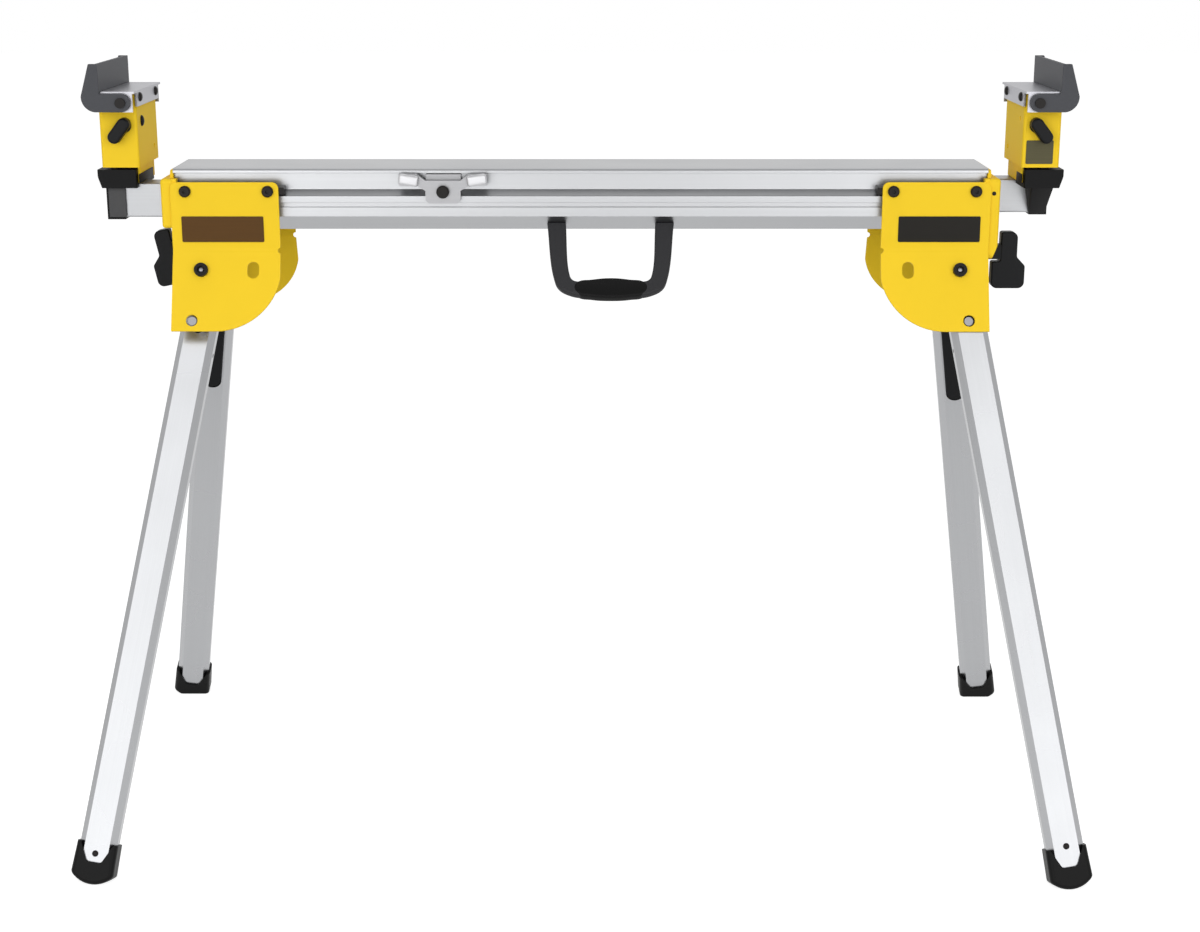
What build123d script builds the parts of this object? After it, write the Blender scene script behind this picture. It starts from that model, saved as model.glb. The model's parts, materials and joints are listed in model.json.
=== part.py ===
from build123d import *
import os
from math import cos, radians, sin, tan

# A folding stand for a miter saw: an aluminium beam on four folding legs, with a work
# support on a sliding tube at each end. X runs along the beam, -Y is the front and the
# floor is Z = 0 under the middle of the beam. Lengths are in millimetres.

# Driving dimensions
support_z = 924.0
support_rise = 94.5
beam_length = 1000.0
beam_width = 102.0
beam_height = 77.5
plate_thickness = 3.0
plate_standoff = 14.0
plate_bend_drop = 99.5
outboard_tilt_deg = 20.4
inboard_tilt_deg = 22.2
leg_splay_deg = 9.5
leg_width = 45.0
leg_depth = 26.0
leg_wall = 2.0
pivot_inset = 35.5
pivot_drop = 24.4
pin_reach = 63.7
tube_width = 38.0
tube_height = 42.0
tube_wall = 2.0
tube_reach = 81.0
tube_inner_end_gap = 30.0
head_width = 46.0
head_half_depth = 56.0

# Clearances and cuts shared by all pieces
slide_gap = 0.5
running_gap = 0.05
seat_gap = 0.3
overrun = 5.0

beam_top_z = support_z - support_rise
beam_bottom_z = beam_top_z - beam_height
beam_half_width = beam_width / 2
beam_end_x = beam_length / 2
plate_face_y = beam_half_width + plate_standoff
plate_bend_z = beam_top_z - plate_bend_drop
tube_end_x = beam_end_x + tube_reach
tube_start_x = tube_inner_end_gap - beam_end_x

# Beam profile
beam_edge_radius = 4.0
beam_lip = 6.0
channel_depth = 8.0
channel_wall_height = 20.5
channel_slope_height = 7.5
rail_step = 1.0
rail_lip = 8.0
groove_height = 6.0
groove_depth = 5.0
skirt_step = 2.0
skirt_height = 11.5
bay_wall = 2.5
web_thickness = 3.0
bay_floor_rise = 15.5
chamber_wall = 2.8

channel_top_z = beam_top_z - beam_lip
channel_wall_y = beam_half_width - channel_depth
channel_foot_z = channel_top_z - channel_wall_height
rail_top_z = channel_foot_z - channel_slope_height
rail_bottom_z = rail_top_z - rail_lip
groove_bottom_z = rail_bottom_z - groove_height
skirt_y = beam_half_width - skirt_step
slope_top_z = groove_bottom_z - skirt_height
slope_foot_y = skirt_y - (slope_top_z - beam_bottom_z)
web_half = web_thickness / 2
bay_outer_y = channel_wall_y - bay_wall
bay_width = bay_outer_y - web_half
bay_height = tube_height + 2 * slide_gap
bay_centre_y = (bay_outer_y + web_half) / 2
bay_floor_z = beam_bottom_z + bay_floor_rise
bay_centre_z = bay_floor_z + bay_height / 2
bay_top_z = bay_floor_z + bay_height
tube_centre_z = bay_centre_z
tube_inner_y = bay_centre_y - tube_width / 2
tube_bottom_z = tube_centre_z - tube_height / 2
tube_top_z = tube_centre_z + tube_height / 2
roof_height = beam_top_z - chamber_wall - (bay_top_z + chamber_wall)
roof_centre_z = bay_top_z + chamber_wall + roof_height / 2
cellar_top_z = bay_floor_z - chamber_wall
cellar_bottom_z = beam_bottom_z + chamber_wall
cellar_foot_y = slope_foot_y - chamber_wall / 2

# Leg plates and their bolts
plate_overhang = 2.0
plate_length = 132.5
plate_top_drop = 15.5
plate_corner_radius = 8.0
plate_skirt = 100.6
plate_arc_start = 36.0
plate_arc_run = 79.5
plate_arc_mid_shares = (0.239, 0.588)
relief_radius = 3.5
bolt_inner_inset = 13.0
bolt_outer_inset = 18.5
bolt_drop = 26.5
bolt_radius = 4.0
bolt_head_radius = 7.0
bolt_head_height = 4.5
bolt_head_chamfer = 1.5
pin_radius = 6.3
pin_hole_radius = 7.2
latch_slot_length = 21.0
pivot_radius = 5.0
pivot_head_radius = 8.5
pivot_head_height = 5.0
pivot_nut_height = 8.0
spacer_bar_height = 9.0
spacer_bar_overhang = 6.5

plate_outer_x = beam_end_x + plate_overhang
plate_inner_x = plate_outer_x - plate_length
plate_top_z = beam_top_z - plate_top_drop
pivot_x = plate_outer_x - pivot_inset
bolt_x = (plate_inner_x + bolt_inner_inset, plate_outer_x - bolt_outer_inset)
bolt_z = beam_top_z - bolt_drop

# Layers inward from a leg plate's outer face
outboard_layer = plate_thickness + 1.2
layer_gap = 9.3
inboard_layer = outboard_layer + leg_depth + layer_gap


def tilted(side_x, side_y, tilt_deg):
    """The plane of a front or rear leg plate's lower half, at its pivot, Z inward, X down."""
    tilt = radians(tilt_deg)
    down = Vector(0, side_y * sin(tilt), -cos(tilt))
    inward = Vector(0, -side_y * cos(tilt), -sin(tilt))
    bend = Vector(side_x * pivot_x, side_y * plate_face_y, plate_bend_z)
    return Plane(origin=bend + down * pivot_drop, x_dir=down, z_dir=inward)


def leg_frame(side_x, side_y, tilt_deg):
    """The same plane turned by the splay, so that X runs down the leg."""
    flat = tilted(side_x, side_y, tilt_deg)
    splay = radians(leg_splay_deg)
    along = flat.x_dir * cos(splay) + Vector(side_x * sin(splay), 0, 0)
    return Plane(origin=flat.origin, x_dir=along, z_dir=flat.z_dir)


def turned(source):
    """The same piece on the other end of the stand, turned half round the vertical."""
    with BuildPart() as copy:
        add(source.part, rotation=(0, 0, 180))
    return copy


def mirrored(source):
    """The same piece on the other end of the stand, as its mirror image."""
    with BuildPart() as copy:
        add(mirror(source.part, about=Plane.YZ))
    return copy


# Beam extrusion
with BuildPart() as beam:
    with BuildSketch(Plane.YZ.offset(-beam_end_x)):
        with BuildLine():
            Polyline(
                (0, beam_top_z),
                (beam_half_width - beam_edge_radius, beam_top_z),
            )
            TangentArc(
                (beam_half_width - beam_edge_radius, beam_top_z),
                (beam_half_width, beam_top_z - beam_edge_radius),
                tangent=(1, 0),
            )
            Polyline(
                (beam_half_width, beam_top_z - beam_edge_radius),
                (beam_half_width, channel_top_z),
                (channel_wall_y, channel_top_z),
                (channel_wall_y, channel_foot_z),
                (beam_half_width - rail_step, rail_top_z),
                (beam_half_width, rail_top_z),
                (beam_half_width, rail_bottom_z),
                (beam_half_width - groove_depth, rail_bottom_z),
                (beam_half_width - groove_depth, groove_bottom_z),
                (skirt_y, groove_bottom_z),
                (skirt_y, slope_top_z),
                (slope_foot_y, beam_bottom_z),
                (0, beam_bottom_z),
            )
            mirror(about=Plane.YZ)
        make_face()
        with Locations((bay_centre_y, bay_centre_z), (-bay_centre_y, bay_centre_z)):
            Rectangle(bay_width, bay_height, mode=Mode.SUBTRACT)
        with Locations((bay_centre_y, roof_centre_z), (-bay_centre_y, roof_centre_z)):
            Rectangle(bay_width, roof_height, mode=Mode.SUBTRACT)
        for side_y in (-1, 1):
            with BuildLine():
                Polyline(
                    (side_y * web_half, cellar_top_z),
                    (side_y * bay_outer_y, cellar_top_z),
                    (side_y * cellar_foot_y, cellar_bottom_z),
                    (side_y * web_half, cellar_bottom_z),
                    close=True,
                )
            make_face(mode=Mode.SUBTRACT)
    extrude(amount=beam_length)
    with BuildSketch(Plane.XZ.offset(-beam_half_width)):
        with Locations([(side * x, bolt_z) for side in (-1, 1) for x in bolt_x]):
            Circle(bolt_radius + running_gap)
    extrude(amount=beam_half_width - bay_outer_y + overrun / 2, mode=Mode.SUBTRACT)
    with BuildSketch(Plane.XZ.offset(beam_half_width)):
        with Locations([(side * x, bolt_z) for side in (-1, 1) for x in bolt_x]):
            Circle(bolt_radius + running_gap)
    extrude(amount=-(beam_half_width - bay_outer_y + overrun / 2), mode=Mode.SUBTRACT)

# End housings, with the tube's opening in one half and the clamp's skirt in the other
housing_thickness = 14.3
housing_top_drop = 12.0
housing_flange_thickness = 4.0
housing_flange_drop = 2.5
housing_flange_inset = 2.0
housing_lug_length = 5.5
housing_foot_rise = 5.0
housing_skirt_drop = 33.0
housing_skirt_y = -6.0
housing_corner_radius = 5.0
housing_edge_radius = 3.0
housing_taper = 7.0
housing_taper_height = 18.0
bush_wall = 2.0
clamp_y = -24.0
clamp_pivot_drop = 4.0
clamp_pivot_depth = 10.8
clamp_pin_radius = 3.0
clamp_thickness = 16.0
wedge_inner_y = -0.6
wedge_width = 24.0
wedge_depth = 10.5
wedge_height = 47.5
cam_radius = 9.0
cam_offset = 1.2

housing_half_width = plate_face_y - plate_thickness
housing_top_z = beam_top_z - housing_top_drop
flange_half_width = beam_half_width - housing_flange_inset
flange_top_z = beam_top_z - housing_flange_drop
lug_inner_y = beam_half_width + seat_gap
lug_centre_y = (lug_inner_y + housing_half_width) / 2
lug_bottom_z = bolt_z + spacer_bar_height / 2 + seat_gap
housing_bottom_z = beam_bottom_z + housing_foot_rise
housing_skirt_z = beam_bottom_z - housing_skirt_drop
housing_inner_x = beam_end_x
housing_outer_x = housing_inner_x + housing_thickness
clamp_pivot_x = housing_inner_x + clamp_pivot_depth
clamp_pivot_z = beam_bottom_z - clamp_pivot_drop
cam_top_z = clamp_pivot_z + cam_radius + cam_offset
clamp_slot_top_z = cam_top_z + seat_gap
wedge_top_z = clamp_slot_top_z + wedge_height
wedge_centre_x = (housing_inner_x + housing_outer_x) / 2
wedge_centre_y = wedge_inner_y - wedge_width / 2

with BuildPart() as housing_right:
    with BuildSketch(Plane.YZ.offset(housing_inner_x)) as housing_outline:
        with BuildLine():
            Polyline(
                (-housing_half_width, housing_top_z),
                (housing_half_width, housing_top_z),
                (housing_half_width, housing_bottom_z),
                (housing_skirt_y, housing_bottom_z),
                (housing_skirt_y, housing_skirt_z),
                (-housing_half_width, housing_skirt_z),
                close=True,
            )
        make_face()
        fillet(housing_outline.vertices(), radius=housing_corner_radius)
        with Locations((bay_centre_y, bay_centre_z)):
            RectangleRounded(
                tube_width + 2 * (seat_gap + bush_wall),
                tube_height + 2 * (seat_gap + bush_wall),
                bush_wall,
                mode=Mode.SUBTRACT,
            )
    extrude(amount=housing_thickness)
    fillet(housing_right.faces().sort_by(Axis.X)[-1].outer_wire().edges(), radius=housing_edge_radius)
    with BuildSketch(Plane.YZ.offset(housing_inner_x)) as flange_outline:
        with Locations((0, (housing_top_z - housing_corner_radius + flange_top_z) / 2)):
            Rectangle(2 * flange_half_width, flange_top_z - housing_top_z + housing_corner_radius)
        fillet(flange_outline.vertices().group_by(Axis.Y)[-1], radius=housing_corner_radius)
    extrude(amount=housing_flange_thickness)
    with BuildSketch(Plane.YZ.offset(housing_inner_x - housing_lug_length)):
        with Locations([(side * lug_centre_y, (lug_bottom_z + housing_top_z) / 2) for side in (-1, 1)]):
            Rectangle(housing_half_width - lug_inner_y, housing_top_z - lug_bottom_z)
    extrude(amount=housing_lug_length)
    with BuildSketch(Plane.XZ):
        with BuildLine():
            Polyline(
                (housing_outer_x, housing_skirt_z + housing_taper_height),
                (housing_outer_x + overrun, housing_skirt_z + housing_taper_height),
                (housing_outer_x + overrun, housing_skirt_z - overrun),
                (housing_outer_x - housing_taper, housing_skirt_z - overrun),
                (housing_outer_x - housing_taper, housing_skirt_z),
                close=True,
            )
        make_face()
    extrude(amount=housing_half_width + overrun, both=True, mode=Mode.SUBTRACT)
    with Locations((wedge_centre_x, clamp_y, (clamp_slot_top_z + housing_skirt_z - overrun) / 2)):
        Box(
            housing_thickness + 2 * overrun,
            clamp_thickness + 2 * slide_gap,
            clamp_slot_top_z - housing_skirt_z + overrun,
            mode=Mode.SUBTRACT,
        )
    with Locations((wedge_centre_x, wedge_centre_y, (cam_top_z + wedge_top_z + seat_gap) / 2)):
        Box(
            wedge_depth + 2 * seat_gap,
            wedge_width + 2 * seat_gap,
            wedge_top_z + seat_gap - cam_top_z,
            mode=Mode.SUBTRACT,
        )
    with BuildSketch(Plane.XZ.offset(-housing_skirt_y)):
        with Locations((clamp_pivot_x, clamp_pivot_z)):
            Circle(clamp_pin_radius)
    extrude(amount=housing_half_width + housing_skirt_y - overrun, mode=Mode.SUBTRACT)
housing_left = turned(housing_right)

# Bushes that line the tube's opening, one in each end housing
with BuildPart() as tube_bushes:
    with BuildSketch(Plane.YZ.offset(housing_inner_x)):
        with Locations((bay_centre_y, bay_centre_z)):
            RectangleRounded(
                tube_width + 2 * (seat_gap + bush_wall),
                tube_height + 2 * (seat_gap + bush_wall),
                bush_wall,
            )
            Rectangle(tube_width + 2 * seat_gap, tube_height + 2 * seat_gap, mode=Mode.SUBTRACT)
    extrude(amount=housing_thickness)
    add(tube_bushes.part, rotation=(0, 0, 180))

# Clamp wedges, which the clamp lever's cam lifts against the bush
with BuildPart() as clamp_wedges:
    with BuildSketch(Plane.XY.offset(clamp_slot_top_z)):
        with Locations((wedge_centre_x, wedge_centre_y), (-wedge_centre_x, -wedge_centre_y)):
            Rectangle(wedge_depth, wedge_width)
    extrude(amount=wedge_height)
    chamfer(clamp_wedges.faces().group_by(Axis.Z)[-1].edges(), length=bush_wall)

# Pins that the clamp levers turn on
with BuildPart() as clamp_pins:
    with BuildSketch(Plane.XZ.offset(-housing_skirt_y)):
        with Locations((clamp_pivot_x, clamp_pivot_z)):
            Circle(clamp_pin_radius)
    extrude(amount=housing_half_width + housing_skirt_y - overrun)
    add(clamp_pins.part, rotation=(0, 0, 180))

# Clamp lever: a cam on its pin, a bent neck and a broad finger pad outside the housing
lever_stem_gap = 9.7
lever_stem_width = 21.0
lever_stem_height = 37.0
lever_pad_width = 42.0
lever_pad_height = 34.0
lever_shoulder = 5.5
lever_pad_radius = 8.0
lever_shoulder_radius = 5.0
lever_waist_radius = 3.0
lever_edge_radius = 2.0
lever_neck_rise = 3.0
lever_neck_height = 18.0
lever_neck_inset = 0.5
lever_arm_inner = 6.0
lever_arm_outer = 4.5
left_lever_swing_deg = 12.0

stem_inner_x = housing_outer_x + lever_stem_gap
stem_outer_x = stem_inner_x + lever_stem_width
pad_inner_x = stem_inner_x - (lever_pad_width - lever_stem_width) / 2
pad_outer_x = pad_inner_x + lever_pad_width
lever_top_z = clamp_pivot_z
lever_waist_z = lever_top_z - lever_stem_height
lever_bottom_z = lever_waist_z - lever_pad_height
lever_neck_z = lever_waist_z + lever_neck_rise
with BuildPart() as clamp_lever_right:
    with BuildSketch(Plane.XZ.offset(-clamp_y)) as lever_outline:
        with BuildLine():
            Polyline(
                (stem_inner_x, lever_top_z),
                (stem_outer_x, lever_top_z),
                (stem_outer_x, lever_waist_z + lever_shoulder),
                (pad_outer_x, lever_waist_z - lever_shoulder),
                (pad_outer_x, lever_bottom_z),
                (pad_inner_x, lever_bottom_z),
                (pad_inner_x, lever_waist_z),
                (stem_inner_x, lever_waist_z),
                close=True,
            )
        make_face()
        fillet(lever_outline.vertices().group_by(Axis.Y)[0], radius=lever_pad_radius)
        fillet(lever_outline.vertices().group_by(Axis.Y)[-1].sort_by(Axis.X)[-1], radius=lever_pad_radius)
        fillet(lever_outline.vertices().group_by(Axis.Y)[-1].sort_by(Axis.X)[0], radius=lever_waist_radius)
        shoulders = lever_outline.vertices().filter_by(
            lambda vertex: abs(abs(vertex.Y - lever_waist_z) - lever_shoulder) < running_gap
        )
        fillet(shoulders, radius=lever_shoulder_radius)
        waist = lever_outline.vertices().filter_by(
            lambda vertex: abs(vertex.Y - lever_waist_z) < running_gap
        )
        fillet(waist, radius=lever_waist_radius)
    extrude(amount=clamp_thickness / 2, both=True)
    fillet(clamp_lever_right.faces().filter_by(Axis.Y).edges(), radius=lever_edge_radius)
    with BuildSketch(Plane.XZ.offset(-clamp_y)):
        with Locations((clamp_pivot_x, clamp_pivot_z + cam_offset)):
            Circle(cam_radius)
        with BuildLine():
            Polyline(
                (clamp_pivot_x - lever_arm_inner, clamp_pivot_z),
                (clamp_pivot_x - lever_arm_inner, lever_neck_z),
                (stem_inner_x + lever_pad_radius, lever_neck_z),
                (stem_inner_x + lever_pad_radius, lever_neck_z + lever_neck_height),
                (clamp_pivot_x + lever_arm_outer, lever_neck_z + lever_neck_height),
                (clamp_pivot_x + lever_arm_outer, clamp_pivot_z),
                close=True,
            )
        make_face()
        with Locations((clamp_pivot_x, clamp_pivot_z)):
            Circle(clamp_pin_radius + running_gap, mode=Mode.SUBTRACT)
    extrude(amount=clamp_thickness / 2 - lever_neck_inset, both=True)
clamp_pin_axis = Axis((clamp_pivot_x, 0, clamp_pivot_z), (0, 1, 0))
with BuildPart() as clamp_lever_left:
    add(clamp_lever_right.part.rotate(clamp_pin_axis, left_lever_swing_deg))
    add(clamp_lever_left.part, rotation=(0, 0, 180), mode=Mode.REPLACE)


# Leg plates, pressed steel, vertical against the beam and leaning out below the bend
def leg_plate(side_x, side_y, tilt_deg):
    tilt = radians(tilt_deg)
    bend_shift = plate_thickness * tan(tilt / 2)
    inner_y = plate_face_y - plate_thickness
    foot_y = plate_face_y + plate_skirt * sin(tilt)
    foot_z = plate_bend_z - plate_skirt * cos(tilt)
    lower = tilted(side_x, side_y, tilt_deg)
    across = -side_x * side_y
    with BuildPart() as plate:
        with BuildSketch(Plane.YZ.offset(side_x * plate_inner_x)):
            with BuildLine():
                Polyline(
                    (side_y * plate_face_y, plate_top_z),
                    (side_y * plate_face_y, plate_bend_z),
                    (side_y * foot_y, foot_z),
                    (
                        side_y * (foot_y - plate_thickness * cos(tilt)),
                        foot_z - plate_thickness * sin(tilt),
                    ),
                    (side_y * inner_y, plate_bend_z - bend_shift),
                    (side_y * inner_y, plate_top_z),
                    close=True,
                )
            make_face()
        extrude(amount=side_x * (plate_outer_x - plate_inner_x))
        fillet(
            plate.edges().filter_by(Axis.Y).group_by(Axis.Z)[-1],
            radius=plate_corner_radius,
        )
        run_share, drop_share = plate_arc_mid_shares
        pivot_run = pivot_x - plate_inner_x
        arc_mid_drop = plate_arc_start + drop_share * (plate_skirt - plate_arc_start)
        with BuildSketch(lower):
            with BuildLine():
                start = (plate_arc_start - pivot_drop, across * pivot_run)
                middle = (arc_mid_drop - pivot_drop, across * (pivot_run - run_share * plate_arc_run))
                end = (plate_skirt - pivot_drop, across * (pivot_run - plate_arc_run))
                ThreePointArc(start, middle, end)
                Polyline(
                    end,
                    (end[0] + overrun, end[1]),
                    (end[0] + overrun, start[1] + across * overrun),
                    (start[0], start[1] + across * overrun),
                    start,
                )
            make_face()
        extrude(amount=2 * plate_thickness, both=True, mode=Mode.SUBTRACT)
        with BuildSketch(lower):
            Circle(pivot_radius + running_gap)
            with Locations(Location((0, across * pin_reach, 0))):
                SlotOverall(latch_slot_length, 2 * pin_hole_radius)
        extrude(amount=2 * plate_thickness, both=True, mode=Mode.SUBTRACT)
        with BuildSketch(leg_frame(side_x, side_y, tilt_deg)):
            with Locations((pin_reach, 0)):
                Circle(pin_hole_radius)
        extrude(amount=2 * plate_thickness, both=True, mode=Mode.SUBTRACT)
        with BuildSketch(Plane.XZ.offset(-side_y * plate_face_y)):
            with Locations([(side_x * x, bolt_z) for x in bolt_x]):
                Circle(bolt_radius + running_gap)
            with Locations((side_x * plate_inner_x, plate_bend_z)):
                Circle(relief_radius)
        extrude(amount=2 * plate_thickness, both=True, mode=Mode.SUBTRACT)
    return plate


# Spacer bars in the beam's side channels, which carry the plates clear of the rails
spacer_bar_start_x = plate_inner_x - spacer_bar_overhang
spacer_bar_length = beam_end_x - spacer_bar_start_x
spacer_bar_face_y = plate_face_y - plate_thickness
spacer_bar_top_z = bolt_z + spacer_bar_height / 2
spacer_bar_bottom_z = bolt_z - spacer_bar_height / 2
slope_rate = (beam_half_width - rail_step - channel_wall_y) / (channel_foot_z - rail_top_z)
spacer_bar_foot_y = channel_wall_y + (channel_foot_z - spacer_bar_bottom_z) * slope_rate
with BuildPart() as spacer_bars:
    for start_x in (spacer_bar_start_x, -beam_end_x):
        with BuildSketch(Plane.YZ.offset(start_x)):
            for side_y in (-1, 1):
                with BuildLine():
                    Polyline(
                        (side_y * channel_wall_y, channel_foot_z),
                        (side_y * channel_wall_y, spacer_bar_top_z),
                        (side_y * spacer_bar_face_y, spacer_bar_top_z),
                        (side_y * spacer_bar_face_y, spacer_bar_bottom_z),
                        (side_y * spacer_bar_foot_y, spacer_bar_bottom_z),
                        close=True,
                    )
                make_face()
        extrude(amount=spacer_bar_length)
    with BuildSketch(Plane.XZ):
        with Locations([(side * x, bolt_z) for side in (-1, 1) for x in bolt_x]):
            Circle(bolt_radius + running_gap)
    extrude(amount=plate_face_y, both=True, mode=Mode.SUBTRACT)

# Plate bolts: domed heads on the plates, shanks through the bars into the beam's wall
bolt_tip_y = bay_outer_y + slide_gap
socket_radius = 2.6
with BuildPart() as plate_bolts:
    for side_x in (-1, 1):
        for side_y in (-1, 1):
            for x in bolt_x:
                face = Plane(
                    origin=(side_x * x, side_y * plate_face_y, bolt_z),
                    x_dir=(1, 0, 0),
                    z_dir=(0, side_y, 0),
                )
                with BuildSketch(face):
                    Circle(bolt_radius)
                extrude(amount=-(plate_face_y - bolt_tip_y))
                with BuildSketch(face):
                    Circle(bolt_head_radius)
                extrude(amount=bolt_head_height)
                with BuildSketch(face.offset(bolt_head_height)):
                    RegularPolygon(socket_radius, 6)
                extrude(amount=-bolt_head_height / 2, mode=Mode.SUBTRACT)
    chamfer(
        plate_bolts.edges().filter_by(GeomType.CIRCLE).filter_by(
            lambda edge: abs(edge.center().Y) > plate_face_y + bolt_head_height / 2
        ),
        length=bolt_head_chamfer,
    )

# The four corners: outboard legs beside their plates, inboard legs one layer further in
corners = {
    "front_right": (1, -1, outboard_tilt_deg, outboard_layer),
    "front_left": (-1, -1, inboard_tilt_deg, inboard_layer),
}
opposite = {"front_right": "rear_left", "front_left": "rear_right"}

# Pivot bolts, nuts and spacers
washer_radius = 11.0
spacer_radius = 9.5
nut_gap = 0.6


def pivot_bolt(frame, layer):
    """A bolt from the plate's outer face through the leg, with its nut's seat."""
    grip = layer + leg_depth + nut_gap + pivot_nut_height + overrun / 2
    with BuildPart() as bolt:
        with BuildSketch(frame):
            Circle(pivot_radius)
        extrude(amount=grip)
        with BuildSketch(frame):
            Circle(pivot_head_radius)
        extrude(amount=-pivot_head_height)
        with BuildSketch(frame.offset(-pivot_head_height)):
            RegularPolygon(pivot_radius, 6)
        extrude(amount=pivot_head_height / 2, mode=Mode.SUBTRACT)
    return bolt


def pivot_nut(frame, layer):
    with BuildPart() as nut:
        with BuildSketch(frame.offset(layer + leg_depth + nut_gap)):
            RegularPolygon(pivot_head_radius, 6)
            Circle(pivot_radius, mode=Mode.SUBTRACT)
        extrude(amount=pivot_nut_height)
    return nut


def pivot_spacer(frame, layer):
    """A washer at an outboard leg, a sleeve at an inboard one."""
    radius = washer_radius if layer == outboard_layer else spacer_radius
    with BuildPart() as spacer:
        with BuildSketch(frame.offset(plate_thickness)):
            Circle(radius)
            Circle(pivot_radius + running_gap, mode=Mode.SUBTRACT)
        extrude(amount=layer - plate_thickness - seat_gap)
    return spacer


def around(make):
    """A node of four solids, one at each leg, from a function of a leg's frame and layer."""
    front = []
    for side_x, side_y, tilt_deg, layer in corners.values():
        front.append(make(leg_frame(side_x, side_y, tilt_deg), layer))
    with BuildPart() as group:
        for piece in front:
            add(piece.part)
            add(piece.part, rotation=(0, 0, 180))
    return group


# Legs: flattened octagonal tubes
leg_chamfer = 7.5
octagon_share_deg = 22.5
leg_top = 20.0
leg_end_gap = 12.0
lever_pivot = 95.0
lever_start = 50.0
lever_end = 191.0
release_width = 24.0
release_proud = 3.5
release_depth = 8.0
release_pivot_depth = 13.0
trunnion_radius = 2.5
slot_margin = 4.0
foot_height = 47.0
foot_wall = 2.4
long_edge_deg = 5.0
foot_flare = 1.0
foot_heel = 9.0
foot_toe = 3.0
foot_sole_radius = 5.0
foot_edge_radius = 6.5
foot_notch_depth = 23.0
foot_notch_top = 40.0
foot_notch_foot = 18.0
foot_notch_radius = 5.0
insert_solid_end = 44.0
insert_end = 80.0
insert_finger = 9.0
pin_head_radius = 6.0
pin_head_gap = 1.0
pin_nose_chamfer = 1.0
pin_play = 1.5
pin_head_height = 2.5
pin_stem_radius = 3.2


def leg_length(tilt_deg, layer):
    """Distance from the pivot to the floor along the leg's own axis."""
    tilt = radians(tilt_deg)
    pivot_z = plate_bend_z - pivot_drop * cos(tilt)
    centre_z = pivot_z - (layer + leg_depth / 2) * sin(tilt)
    return centre_z / (cos(tilt) * cos(radians(leg_splay_deg)))


def octagon(inset):
    """A leg's section, inset from its outer skin, with its depth along the sketch's X."""
    with BuildSketch() as section:
        Rectangle(leg_depth - 2 * inset, leg_width - 2 * inset)
        chamfer(section.vertices(), length=leg_chamfer - inset * tan(radians(octagon_share_deg)))
    return section.sketch


leg_skin = octagon(0)
leg_bore = octagon(leg_wall)
foot_socket = octagon(-running_gap)


def cross_plane(frame, distance, depth):
    """A plane across the leg at a distance from its pivot; sketch X is the depth inward."""
    origin = frame.origin + frame.x_dir * distance + frame.z_dir * depth
    return Plane(origin=origin, x_dir=frame.z_dir, z_dir=frame.x_dir)


def long_edges(piece, frame):
    """The straight edges that run down the leg, to within a few degrees."""
    straight = piece.edges().filter_by(GeomType.LINE)
    return straight.filter_by(lambda edge: abs(edge.tangent_at(0).dot(frame.x_dir)) > cos(radians(long_edge_deg)))


def along(frame):
    """The axis straight in through a leg's pivot, for sorting faces by their depth."""
    return Axis(frame.origin, frame.z_dir)


def leg_tube(frame, length, layer):
    middle = layer + leg_depth / 2
    side_plane = Plane(
        origin=frame.origin + frame.x_dir * lever_pivot + frame.z_dir * (layer + release_pivot_depth),
        x_dir=frame.x_dir,
        z_dir=frame.y_dir,
    )
    slot_length = lever_end - lever_start + 2 * slot_margin
    with BuildPart() as tube:
        with BuildSketch(cross_plane(frame, -leg_top, middle)):
            add(leg_skin)
            add(leg_bore, mode=Mode.SUBTRACT)
        extrude(amount=length - leg_end_gap + leg_top)
        with BuildSketch(frame.offset(layer)):
            Circle(pivot_radius + leg_wall)
        extrude(amount=leg_depth, mode=Mode.SUBTRACT)
        with BuildSketch(frame.offset(layer)):
            with Locations((pin_reach, 0)):
                Circle(pin_radius + leg_wall)
        extrude(amount=leg_wall + seat_gap, mode=Mode.SUBTRACT)
        with BuildSketch(frame.offset(layer + leg_depth)):
            with Locations(((lever_start + lever_end) / 2, 0)):
                SlotOverall(slot_length, release_width + 2 * slide_gap)
        extrude(amount=-(leg_wall + seat_gap), mode=Mode.SUBTRACT)
        with BuildSketch(side_plane):
            Circle(trunnion_radius + running_gap)
        extrude(amount=leg_width, both=True, mode=Mode.SUBTRACT)
    return tube


def leg_insert(frame, layer):
    """The moulded plug in the top of a leg: it holds the pivot bore and guides the pin."""
    middle = layer + leg_depth / 2
    finger_cut = leg_depth - leg_wall - insert_finger
    with BuildPart() as insert:
        with BuildSketch(cross_plane(frame, -leg_top, middle)):
            add(leg_bore)
        extrude(amount=insert_end + leg_top)
        cut_centre = layer + insert_finger + leg_wall + finger_cut / 2
        with BuildSketch(cross_plane(frame, insert_solid_end, cut_centre)):
            Rectangle(finger_cut, leg_width)
        extrude(amount=insert_end, mode=Mode.SUBTRACT)
        with BuildSketch(frame.offset(layer)):
            Circle(pivot_radius + leg_wall)
        extrude(amount=leg_depth)
        with BuildSketch(frame.offset(layer)):
            Circle(pivot_radius + running_gap)
        extrude(amount=leg_depth, mode=Mode.SUBTRACT)
        with BuildSketch(frame.offset(layer)):
            with Locations((pin_reach, 0)):
                Circle(pin_radius + running_gap)
        extrude(amount=leg_depth, mode=Mode.SUBTRACT)
    return insert


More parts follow.
